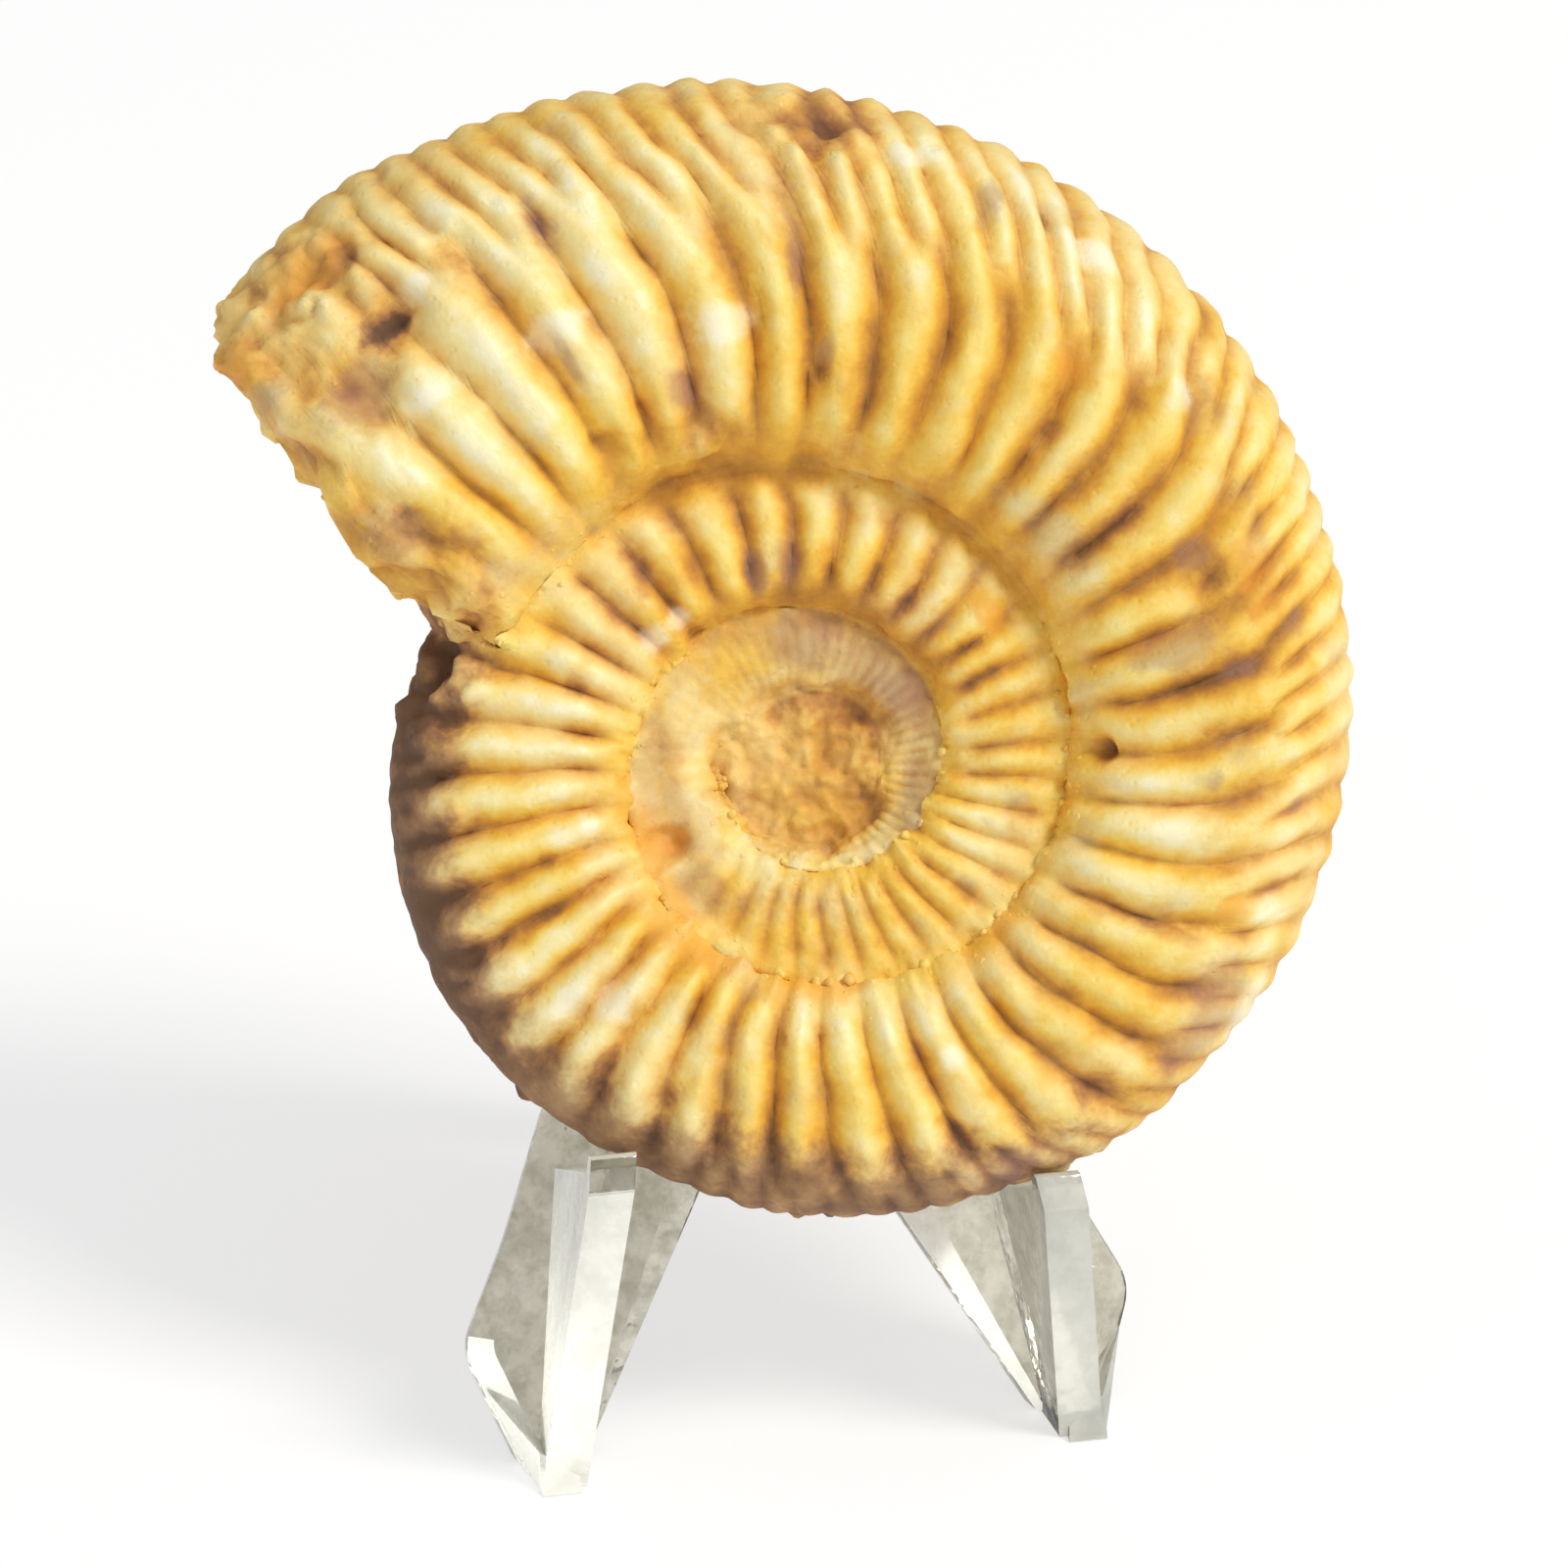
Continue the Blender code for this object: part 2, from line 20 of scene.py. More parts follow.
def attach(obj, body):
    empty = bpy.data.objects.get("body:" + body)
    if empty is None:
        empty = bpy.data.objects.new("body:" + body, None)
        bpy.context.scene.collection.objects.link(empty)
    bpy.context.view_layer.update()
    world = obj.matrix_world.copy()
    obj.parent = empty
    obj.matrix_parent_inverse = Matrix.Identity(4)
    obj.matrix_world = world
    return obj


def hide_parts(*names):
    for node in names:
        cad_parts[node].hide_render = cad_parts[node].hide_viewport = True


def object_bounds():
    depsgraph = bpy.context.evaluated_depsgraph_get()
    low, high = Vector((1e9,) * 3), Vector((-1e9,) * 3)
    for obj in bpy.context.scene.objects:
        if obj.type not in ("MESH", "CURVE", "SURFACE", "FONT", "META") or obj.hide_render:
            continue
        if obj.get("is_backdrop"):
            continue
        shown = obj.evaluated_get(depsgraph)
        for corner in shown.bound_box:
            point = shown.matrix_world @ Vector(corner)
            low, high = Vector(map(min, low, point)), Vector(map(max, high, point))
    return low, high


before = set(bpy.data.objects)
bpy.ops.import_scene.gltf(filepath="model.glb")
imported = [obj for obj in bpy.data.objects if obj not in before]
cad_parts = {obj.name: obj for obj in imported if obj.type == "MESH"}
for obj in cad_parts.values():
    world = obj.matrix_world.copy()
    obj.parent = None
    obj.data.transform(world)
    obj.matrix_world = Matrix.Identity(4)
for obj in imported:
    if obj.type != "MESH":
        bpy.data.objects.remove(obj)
cad_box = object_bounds()
scene = bpy.context.scene
MM = 0.001
print("nodes:", sorted(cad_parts))

# %% [markdown]
# ## Small helpers for node trees
#
# Shader trees and geometry trees are built with the same few calls: add a node, set or join its sockets,
# and hand on the socket that it puts out. With helpers for these, a tree reads like a formula.


# %% Node helpers
def add(tree, kind, sockets=None, **settings):
    """A new node. Each entry of sockets is a value to set or a socket to join, by name or by number."""
    node = tree.nodes.new(kind)
    for name, value in settings.items():
        setattr(node, name, value)
    for key, value in (sockets or {}).items():
        if isinstance(value, bpy.types.NodeSocket):
            tree.links.new(value, node.inputs[key])
        else:
            node.inputs[key].default_value = value
    return node


def calc(tree, operation, *values):
    """One Math node."""
    return add(tree, "ShaderNodeMath", dict(enumerate(values)), operation=operation).outputs[0]


def ramp(tree, value, low, high, start=0.0, end=1.0):
    """A smooth slope: start below low, end above high."""
    sockets = {"Value": value, "From Min": low, "From Max": high, "To Min": start, "To Max": end}
    return add(tree, "ShaderNodeMapRange", sockets, interpolation_type="SMOOTHSTEP").outputs[0]


def cloud(tree, place, size, detail=2.0, seed=0.0, roughness=0.5):
    """Noise between about 0.2 and 0.8 whose lumps are about one size across, in millimetres."""
    scale = 1.0 / (size * MM)
    sockets = {"Vector": place, "W": seed, "Scale": scale, "Detail": detail, "Roughness": roughness}
    return add(tree, "ShaderNodeTexNoise", sockets, noise_dimensions="4D").outputs[0]


def mix_value(tree, share, first, second):
    """first where share is 0, second where it is 1."""
    return add(tree, "ShaderNodeMix", {0: share, 2: first, 3: second}, data_type="FLOAT").outputs[0]


def mixed(tree, share, first, second):
    """Two colours mixed."""
    return add(tree, "ShaderNodeMix", {0: share, 6: first, 7: second}, data_type="RGBA").outputs[2]


def new_group(name, kind, inputs, outputs):
    """An empty node group with named sockets, and its input and output nodes."""
    tree = bpy.data.node_groups.new(name, kind)
    for direction, sockets in (("INPUT", inputs), ("OUTPUT", outputs)):
        for label, (socket_type, value) in sockets.items():
            socket = tree.interface.new_socket(label, in_out=direction, socket_type=socket_type)
            if value is not None:
                socket.default_value = value
    return tree, tree.nodes.new("NodeGroupInput"), tree.nodes.new("NodeGroupOutput")


# %% [markdown]
# ## The camera and the light
#
# The photo looks straight at the flank of the shell, which leans back on the easel, so the camera looks
# down by the same angle. It stands about 30 cm away, as a hand-held phone does. The light is one large soft
# lamp from the upper right and a pale room, on a white table. A narrow slit of light from low at the left
# lights the facets of the legs.

# %% Camera, table and lamps
SHELL_CENTRE = (0.87, -6.36, 35.1)  # of the coil, in the part's frame
SHELL_LEAN = 22.0  # degrees
PHOTO_SCALE = 0.0517  # millimetres in a pixel of the photo, at the coil
PHOTO_SIDE = 1600
COIL_PIXEL = (820, 785)
CAMERA_DISTANCE = 300.0
SENSOR = 36.0

lean = math.radians(SHELL_LEAN)
coil_place = Matrix.Translation(Vector(SHELL_CENTRE)) @ Matrix.Rotation(-lean, 4, "X")
right, toward_camera, up = (coil_place.to_3x3() @ Vector(axis) for axis in ((1, 0, 0), (0, -1, 0), (0, 0, 1)))
aside = (PHOTO_SIDE / 2 - COIL_PIXEL[0]) * PHOTO_SCALE
above = (COIL_PIXEL[1] - PHOTO_SIDE / 2) * PHOTO_SCALE
eye = Vector(SHELL_CENTRE) + toward_camera * CAMERA_DISTANCE + right * aside + up * above
lens = bpy.data.cameras.new("camera")
lens.sensor_width = SENSOR
lens.lens = SENSOR * CAMERA_DISTANCE / (PHOTO_SIDE * PHOTO_SCALE)
lens.clip_start = 0.01
camera = bpy.data.objects.new("camera", lens)
scene.collection.objects.link(camera)
turned = Matrix((right, up, toward_camera)).transposed().to_4x4()
camera.matrix_world = Matrix.Translation(eye * MM) @ turned
scene.camera = camera
scene.view_settings.view_transform = "Standard"


def add_lamp(name, place, size, power, colour, target=SHELL_CENTRE):
    """A square soft lamp that looks at the target, the shell if none is named. Places are in millimetres."""
    data = bpy.data.lights.new(name, "AREA")
    data.size = size * MM
    data.energy = power
    data.color = colour
    lamp = bpy.data.objects.new(name, data)
    scene.collection.objects.link(lamp)
    away = Vector(place) - Vector(target)
    turn = away.to_track_quat("Z", "Y").to_matrix().to_4x4()
    lamp.matrix_world = Matrix.Translation(Vector(place) * MM) @ turn
    return lamp


add_lamp("key", (1600, -950, 2100), 900, 50.0, (1.0, 0.97, 0.92))
add_lamp("fill", (-900, -2200, 900), 1600, 4.0, (0.95, 0.97, 1.0))
slit = add_lamp("low_slit", (-200, -150, 5), 70, 0.0019, (1.0, 0.99, 0.95), (0, -15, 5))
slit.data.shape = "RECTANGLE"
slit.data.size_y = 9 * MM
slit.data.spread = math.radians(4)

world = bpy.data.worlds.new("pale_room")
world.use_nodes = True
room = world.node_tree.nodes["Background"].inputs
room["Color"].default_value = (0.95, 0.97, 1.0, 1.0)
room["Strength"].default_value = 0.46
scene.world = world

bpy.ops.mesh.primitive_plane_add(size=4.0, location=(0, 0, -0.00005))
table = bpy.context.object
table.name = "table"
table_paint = bpy.data.materials.new("pale_table")
table_paint.use_nodes = True
table_surface = table_paint.node_tree.nodes["Principled BSDF"].inputs
table_surface["Base Color"].default_value = (0.45, 0.45, 0.45, 1.0)
table_surface["Roughness"].default_value = 0.8
table_surface["Specular IOR Level"].default_value = 0.1
table_surface["Emission Color"].default_value = (1.0, 1.0, 1.0, 1.0)
table_surface["Emission Strength"].default_value = 0.6
table.data.materials.append(table_paint)
table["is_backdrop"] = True

# %% [markdown]
# ## The rule of the coil
#
# A real shell grows by the same share in every turn, and so does this one: its radii are given at every
# quarter of the last turn and get smaller by the same growth inwards. A place on the shell is a turn number
# (0 points left, -1 is one turn further in) and a fraction of the way from the inner seam, 0, to the outer
# edge, 1.

# %% Radii and the section of one turn
RIM_RADII = (21.7, 23.4, 28.6, 35.8)
TURN_GROWTH = 2.0
SEAM_RADII = (4.5, 5.4, 7.2, 8.4, 9.2, 11.2, 13.8, 15.6, 17.5)
FIRST_TURN = -2.0
SPLIT_TURN = -0.0625
MOUTH_TURN = 0.9375
BREADTH_PER_HEIGHT = 0.41
WIDEST_AT = 0.42
FLANK_POWER, RIM_POWER = 2.6, 2.1
WALL_SHAPE = (3.0, 0.62)
INNER_WALL_SHAPE = (2.2, 1.15)  # a softer step down to the middle
SEAM_STEP = 0.25
SEAM_GAP = 0.05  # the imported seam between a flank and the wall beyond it
CORE_HEIGHT = 0.8
CORE_INSET = 0.25
CORE_DIP = 0.3
CORE_SPREAD = 1.3  # how far the stone of the middle spreads over the first turns
CORE_WAVES = ((2, 0.18, 0.6), (3, 0.16, 2.0), (7, 0.08, 1.0))  # how many, how high and where they start
WORN_TIP = (306.0, 324.0, 1.1)  # angles between which the rim wears down near the mouth, and how far
HIDDEN_RIM = 0.07  # the covered rims of the inner turns stand this share further out
INNER_SHIFT = 0.25  # the innermost turn is widest this much further out, so that it faces the middle


def smooth(low, high, value):
    """0 below low, 1 above high, and an even slope between."""
    share = np.clip((value - low) / (high - low), 0.0, 1.0)
    return share * share * (3.0 - 2.0 * share)


def through_stations(stations, place):
    """The value at a place counted in stations, on a smooth curve through them."""
    first = np.clip(np.floor(place).astype(int), 1, len(stations) - 3)
    share = place - first
    before, low, high, after = (stations[first + step] for step in (-1, 0, 1, 2))
    bend = share * share * (3.0 - 2.0 * share)
    eased = low + (high - low) * bend
    leaving = (high - before) / 2.0 * share * (1.0 - share) ** 2
    arriving = (after - low) / 2.0 * share * share * (1.0 - share)
    return eased + leaving - arriving


def rim_radius(turn):
    logs = [math.log(RIM_RADII[step % 4] * TURN_GROWTH ** (step // 4)) for step in range(-12, 8)]
    starts, ends, depth = WORN_TIP
    worn = smooth(starts, ends, turn * 360.0)
    covered = 1.0 + HIDDEN_RIM * smooth(-0.08, -0.25, turn)
    return np.exp(through_stations(np.array(logs), turn * 4.0 + 12.0)) * covered - depth * worn


def seam_radius(turn):
    inwards = [radius / TURN_GROWTH for radius in SEAM_RADII[:4]]
    outwards = [radius * TURN_GROWTH for radius in SEAM_RADII[5:]]
    logs = np.log(inwards + list(SEAM_RADII) + outwards)
    return np.exp(through_stations(logs, (turn + 2.0) * 4.0))


def core_radius(turn):
    """The edge of the stone in the middle, which isn't quite round."""
    swings = [size * np.sin(math.tau * waves * turn + start) for waves, size, start in CORE_WAVES]
    return SEAM_RADII[0] - CORE_INSET + sum(swings)


def inner_radius(turn):
    core = core_radius(turn) + SEAM_STEP * (turn - FIRST_TURN)
    return np.where(turn < -1.0, core, seam_radius(turn) + SEAM_STEP)


def start_height(turn):
    """Height at which a turn's wall rises from the flank of the turn inside it."""
    below = turn - 1.0
    inner = inner_radius(below)
    fraction = (seam_radius(turn) - inner) / (rim_radius(below) - inner)
    return flank_height(below, np.clip(fraction, 0.0, 1.0))


def flank_height(turn, fraction):
    """How far the smooth flank stands off the middle plane."""
    start = np.full_like(turn, CORE_HEIGHT)
    later = turn >= -1.0
    if later.any():
        start[later] = start_height(turn[later])
    overlap = np.minimum(seam_radius(turn), rim_radius(turn) / 2.0)
    breadth = np.maximum(BREADTH_PER_HEIGHT * (rim_radius(turn) - overlap), start + 0.1)
    widest = WIDEST_AT + INNER_SHIFT * smooth(-0.95, -1.2, turn)
    wall = np.clip(1.0 - fraction / widest, 0.0, 1.0)
    soft = smooth(-0.9, -1.15, turn)
    shapes = zip(WALL_SHAPE, INNER_WALL_SHAPE)
    power, roundness = ((1.0 - soft) * plain + soft * inmost for plain, inmost in shapes)
    low = start + (breadth - start) * (1.0 - wall**power) ** roundness
    beyond = np.clip((fraction - widest) / (1.0 - widest), 0.0, 1.0)
    high = breadth * (1.0 - beyond**FLANK_POWER) ** (1.0 / RIM_POWER)
    return np.where(fraction < widest, low, high)


quarters = rim_radius(np.array([0.0, 0.25, 0.5, 0.75]))
print("rim radius at the left, below, right and above:", quarters.round(1))

# %% [markdown]
# ## Where the ribs run
#
# The ribs stand a little closer on the last turn than on the turn before, and are finest on the innermost.
# Each starts at the inner seam, leans forward towards the rim and parts in two on the way. Here each point
# of the strip only learns its place among the ribs, as a number that goes up by one from rib to rib: the
# tree of nodes makes the relief from it.

# %% Rib places
LEAN_ANGLES = (1.0, 1.0, 2.0, 6.0, 8.0, 9.5, 12.0, 4.0, 4.0)
LEAN_STARTS = 0.35
LEAN_POWER = 1.6
HOOK_ANGLE, HOOK_LENGTH = 1.6, 0.08  # degrees a rib starts forward, fading over this share of the way
RIBS_BEFORE = -1.08  # at the start of the last turn
RIBS_PER_TURN, RIB_GAIN = 38.0, 3.06
RIB_SWAY, SWAY_SPEED = 1.7, 1.2  # how unevenly the ribs of the earlier turns are spread
INNER_RIBS_PER_TURN = 60.0


def rib_count(turn):
    """How many main ribs lie before this place."""
    slow = RIB_SWAY * np.sin(SWAY_SPEED * math.pi * np.minimum(turn, 0.0)) ** 2
    outer = RIBS_BEFORE + RIBS_PER_TURN * turn + RIB_GAIN * turn**2 + slow
    edge = RIBS_BEFORE - RIBS_PER_TURN + RIB_GAIN + RIB_SWAY * math.sin(SWAY_SPEED * math.pi) ** 2
    return np.where(turn < -1.0, edge + INNER_RIBS_PER_TURN * (turn + 1.0), outer)


def rib_lean(turn, fraction):
    """How far a rib has moved forward, in turns, on its way from seam to rim."""
    stations = np.array((LEAN_ANGLES[0], *LEAN_ANGLES, LEAN_ANGLES[-1]))
    at_rim = through_stations(stations, np.clip(turn, 0.0, 1.0) * 8.0 + 1.0) / 360.0
    bent = np.clip((fraction - LEAN_STARTS) / (1.0 - LEAN_STARTS), 0.0, 1.0) ** LEAN_POWER
    hook = HOOK_ANGLE / 360.0 * np.exp(-fraction / HOOK_LENGTH)
    return at_rim * bent + hook


# %% [markdown]
# ## The strip of faces
#
# Columns of points stand across the coil, sixteen to a rib on the last turn, and lean with the ribs so that
# the faces follow them. On the turns further in, only the part that the next turn leaves bare gets points.
# Both sides are wound in one go and share the points of the rim.

# %% Columns and rows
COVERED_ROWS = 18
OPEN_ROWS = 32
COLUMNS_PER_RIB = (4, 12, 16)  # on the innermost turn, the next and the last
BREAK_FRACTIONS = (0.0, 0.23, 0.3, 0.39, 0.51, 0.67, 0.8, 0.9, 0.96, 1.0)
BREAK_ANGLES = (337.5, 336.5, 335.3, 334.5, 331.5, 329.0, 326.3, 324.4, 323.0, 320.4)
BREAK_STARTS = 296.0
LIP_LENGTH, LIP_DROP = 2.4, 0.34  # the worn lip of the mouth, in millimetres and as a share of the height
BREAK_JAGS = ((3.2, 1.9), (1.4, 0.3))  # size in millimetres, and depth in degrees


def column_turns():
    """The turn number of each column."""
    fine = np.linspace(FIRST_TURN, MOUTH_TURN, 9000)
    counts = rib_count(fine)
    edges = (counts[0], float(rib_count(np.array(-1.0))), float(rib_count(np.array(SPLIT_TURN))), counts[-1])
    places = [
        np.linspace(low, high, int((high - low) * per_rib), endpoint=False)
        for low, high, per_rib in zip(edges, edges[1:], COLUMNS_PER_RIB)
    ]
    turns = np.interp(np.concatenate(places), counts, fine)
    return np.append(turns, MOUTH_TURN)


def row_fractions(turns):
    """Fractions from seam to rim, one row of them for each column."""
    inner = inner_radius(turns)
    cover = ((seam_radius(turns + 1.0) - SEAM_GAP - inner) / (rim_radius(turns) - inner))[:, None]
    covered = cover * (np.arange(COVERED_ROWS + 1) / COVERED_ROWS) ** 1.25
    reach = (np.maximum(cover - WIDEST_AT, 0.02) / (1.0 - WIDEST_AT)) ** (FLANK_POWER / 2.0)
    angle = np.arccos(np.minimum(reach, 1.0)) * (1.0 - np.arange(1, OPEN_ROWS + 1) / OPEN_ROWS)
    rest = WIDEST_AT + (1.0 - WIDEST_AT) * np.cos(angle) ** (2.0 / FLANK_POWER)
    return np.concatenate((covered, rest), axis=1)


def broken_edge(fractions):
    """Where the mouth is broken off, in turns, with jags."""
    angles = np.interp(fractions, BREAK_FRACTIONS, BREAK_ANGLES)
    kept = smooth(1.0, 0.9, fractions)
    for size, depth in BREAK_JAGS:
        along = fractions * 20.0 / size
        jags = np.array([noise.noise(Vector((x, size, 4.2))) for x in along.flat]).reshape(along.shape)
        angles = angles + depth * kept * jags
    return angles / 360.0


def placed_turns(turns, fractions):
    """Where each point lies along the coil: leaning with the ribs, and drawn to the edge near the mouth."""
    places = turns[:, None] + np.zeros_like(fractions)
    start = np.full_like(fractions, BREAK_STARTS / 360.0)
    for _ in range(3):
        places = turns[:, None] + rib_lean(places, fractions)
        start = BREAK_STARTS / 360.0 + rib_lean(start, fractions)
    share = (turns * 360.0 - BREAK_STARTS) / (MOUTH_TURN * 360.0 - BREAK_STARTS)
    drawn = start + share[:, None] * (broken_edge(fractions) - start)
    return np.where(share[:, None] > 0.0, drawn, places)


def zip_edges(left, right):
    """Triangles between two rows of (place, point), each in rising order of place."""
    faces = []
    here, there = 0, 0
    while here < len(left) - 1 or there < len(right) - 1:
        right_done = there == len(right) - 1
        go_left = right_done or (here < len(left) - 1 and left[here + 1][0] <= right[there + 1][0])
        if go_left:
            faces.append((left[here][1], left[here + 1][1], right[there][1]))
            here += 1
        else:
            faces.append((left[here][1], right[there + 1][1], right[there][1]))
            there += 1
    return faces


# %% [markdown]
# ## Stains, scars and painted light
#
# The stone isn't one colour. Iron has stained it in patches, and a few pits and scrapes are knocked into
# it. Not every patch is a stain: some brown and purple ones are painted shade on the upper right of the
# turns and along the lower left rim, the cream on the step at the left of the middle is partly painted
# light, and the white spots are partly painted highlights. Each has its own place, so they are listed by
# kind: the angle along the coil (a turn further in is 360 degrees less), the radius, and half the length
# and width. Every point of the strip gets a mask from each kind, which the material breaks up with noise.

# %% Patches and scars
PATCHES = {  # angle, radius, half length and half width
    "gold": (
        (247, 22.5, 15.0, 6.5), (212, 25.5, 10.0, 6.0), (190, 24.0, 8.0, 4.5), (181, 21.0, 2.4, 5.0),
        (205, 19.0, 8.0, 4.0), (242, 18.5, 9.0, 4.0), (162, 20.0, 3.0, 6.0), (148, 19.5, 4.0, 6.0),
        (126, 18.0, 3.0, 4.0), (96, 17.5, 8.0, 5.0), (70, 12.6, 5.0, 2.0), (44, 12.6, 2.5, 1.6),
        (20, 15.0, 5.0, 3.5), (270, 21.5, 5.0, 6.0), (325, 22.0, 3.0, 2.4), (306, 20.0, 7.0, 4.0),
        (-25, 16.0, 4.0, 2.5), (-60, 11.0, 5.0, 3.0), (-100, 11.5, 5.0, 3.0), (-140, 11.8, 5.0, 2.6),
        (-172, 11.0, 4.0, 3.0), (-235, 9.8, 5.0, 2.4), (-280, 8.6, 4.0, 2.4), (-420, 6.6, 4.0, 2.0),
        (-380, 8.4, 2.6, 1.2), (-300, 7.6, 3.0, 1.6), (-318, 9.4, 2.0, 0.8),
    ),
    # cream: worn pale stone; on the step at the left of the middle also painted light
    "cream": (
        (292, 29.0, 8.0, 8.0), (314, 25.0, 9.0, 8.0), (255, 31.5, 7.0, 3.0), (236, 30.0, 5.0, 2.0),
        (212, 29.6, 8.0, 2.0), (192, 28.6, 6.0, 1.6), (150, 25.5, 7.0, 1.3), (170, 18.0, 6.0, 4.0),
        (106, 14.0, 6.0, 2.5), (34, 16.5, 2.0, 4.5), (44, 17.5, 2.0, 4.0), (14, 12.6, 3.0, 2.0),
        (3, 16.0, 2.0, 4.0), (61, 16.0, 2.0, 4.0), (-8, 14.5, 4.0, 4.0), (-200, 9.6, 4.0, 2.0),
        (-366, 5.6, 4.0, 1.2), (-335, 5.6, 4.0, 1.2), (-300, 6.4, 3.0, 1.2), (-610, 5.4, 3.5, 1.2),
        (-585, 5.7, 3.5, 1.4), (-560, 6.2, 2.0, 1.3), (-385, 7.2, 2.0, 1.0), (-452, 6.8, 0.8, 0.9),
    ),
    # white: pale spots, partly painted highlights
    "white": (
        (299, 25.8, 2.6, 1.1), (280, 23.2, 2.2, 1.3), (314, 27.2, 2.6, 0.9), (309, 31.6, 1.6, 0.8),
        (51, 15.6, 1.4, 1.3), (15, 11.6, 1.2, 0.8), (117, 16.9, 1.0, 0.9), (163, 24.8, 1.0, 0.9),
        (152, 26.2, 3.0, 0.6), (225, 27.4, 1.3, 0.9), (241, 30.6, 2.4, 0.8), (260, 32.2, 1.4, 0.9),
        (-50, 10.2, 0.9, 0.7), (-40, 10.4, 1.2, 0.8),
    ),
    # brown: stains, pits and dirt, and broad painted shade on the upper right of the turns and the lower left
    # rim
    "brown": (
        (314, 31.2, 2.6, 1.5), (317, 38.0, 3.0, 1.2), (313, 35.6, 2.6, 1.2), (325, 35.8, 2.0, 2.2),
        (305, 32.2, 1.4, 1.3), (296, 31.2, 2.4, 0.9), (325, 20.9, 1.2, 1.2), (330, 24.0, 2.2, 1.4),
        (334, 18.6, 1.8, 1.4), (290, 19.6, 2.0, 2.0), (268, 34.0, 3.6, 2.6), (234, 21.7, 0.8, 0.7),
        (184, 15.6, 1.6, 0.7), (7, 18.6, 1.2, 3.6), (30, 16.5, 0.8, 3.0), (56, 18.5, 0.7, 1.8),
        (19, 14.0, 0.8, 0.8), (87, 13.8, 0.6, 1.4), (113, 20.8, 0.7, 1.8), (140, 16.5, 0.6, 3.0),
        (156, 21.0, 0.6, 3.6), (192, 19.2, 0.7, 1.4), (207, 23.6, 1.6, 1.2), (-17, 21.0, 2.4, 2.0),
        (-22, 12.6, 1.6, 0.8), (-35, 12.0, 0.6, 1.6), (-120, 9.6, 6.0, 2.4), (-85, 10.0, 4.0, 2.0),
        (-150, 10.4, 3.0, 2.0), (192, 22.0, 4.0, 5.0), (142, 24.0, 7.0, 3.4), (-45, 12.0, 4.0, 3.0),
        (0, 21.0, 6.0, 3.0), (26, 21.8, 6.0, 2.6), (215, 20.0, 5.0, 3.0), (262, 20.0, 4.0, 3.0),
    ),
    # umber: dirt, and painted shade in the crevices by the broken mouth
    "umber": (
        (-17, 20.4, 2.2, 2.0), (-10, 18.6, 2.0, 1.2), (313.6, 31.4, 1.9, 0.9),
    ),
    # purple: veins and stains, and broad painted shade on the upper right and top of the inner turns
    "purple": (
        (193, 23.2, 0.6, 1.5), (198, 20.4, 1.6, 3.4), (209, 22.8, 1.0, 1.4), (176, 25.6, 0.7, 0.9),
        (179, 21.0, 1.0, 0.6), (197, 26.2, 1.2, 0.6), (267, 21.4, 0.7, 1.2), (271, 26.5, 0.6, 3.4),
        (252, 30.6, 1.0, 1.8), (150, 24.6, 5.0, 2.0), (118, 23.6, 4.0, 1.6), (296, 31.6, 0.7, 1.8),
        (320, 29.6, 3.4, 2.2), (326, 33.6, 2.6, 1.2), (300, 24.0, 0.5, 2.4), (288, 20.4, 1.0, 1.2),
        (-86, 10.9, 0.9, 2.0), (-76, 10.6, 0.8, 2.0), (-448, 6.8, 3.2, 2.0), (-495, 6.9, 5.0, 2.2),
        (-550, 6.4, 3.0, 1.6),
    ),
    "orange": (
        (315.5, 36.4, 3.4, 1.5), (325, 35.8, 2.0, 1.8), (29, 9.4, 2.6, 1.3), (12, 9.3, 3.0, 1.1),
        (60, 11.0, 5.0, 1.1), (95, 11.8, 5.0, 1.0), (150, 13.2, 5.0, 0.9), (188, 13.8, 6.5, 1.1),
        (203, 25.2, 3.6, 1.1), (236, 25.0, 1.6, 1.2), (162, 23.4, 1.4, 1.0), (-140, 12.5, 1.5, 0.9),
        (-337, 9.0, 3.2, 1.3), (-332, 8.0, 1.1, 1.6), (-322, 9.8, 4.0, 0.9), (-45, 8.2, 2.6, 0.8),
    ),
    "grey": (
        (-372, 8.0, 4.0, 1.3), (-352, 8.4, 3.4, 1.0), (-345, 6.8, 2.0, 1.2), (-311, 8.2, 2.2, 1.6),
        (-570, 6.0, 2.5, 1.4), (-500, 6.6, 3.0, 1.4), (224, 27.4, 1.3, 1.0), (-188, 11.2, 0.7, 0.9),
        (-215, 10.4, 0.6, 1.0), (46, 17.0, 1.2, 1.0), (5, 20.0, 1.6, 1.8), (222, 17.6, 5.0, 1.6),
        (330, 24.0, 2.0, 3.0),
    ),
}
PATCH_KINDS = tuple(PATCHES)
SCARS = (  # angle, radius, half length and half width as above, and depth
    (314.0, 31.2, 3.0, 1.4, 1.5), (319.0, 29.4, 2.4, 1.6, 0.7), (323.0, 34.0, 1.2, 1.6, 0.7),
    (304.0, 32.8, 1.4, 0.8, 0.5), (234.0, 21.7, 0.7, 0.6, 0.8), (184.0, 15.4, 0.7, 0.6, 0.7),
    (268.0, 20.6, 0.6, 0.8, 0.4), (275.0, 23.8, 0.5, 0.6, 0.4), (330.0, 21.6, 1.0, 1.0, 0.6),
    (337.0, 18.8, 1.0, 0.9, 0.7), (-16.0, 19.8, 2.2, 0.9, 1.0), (-331.0, 8.2, 0.9, 1.3, 0.5),
)
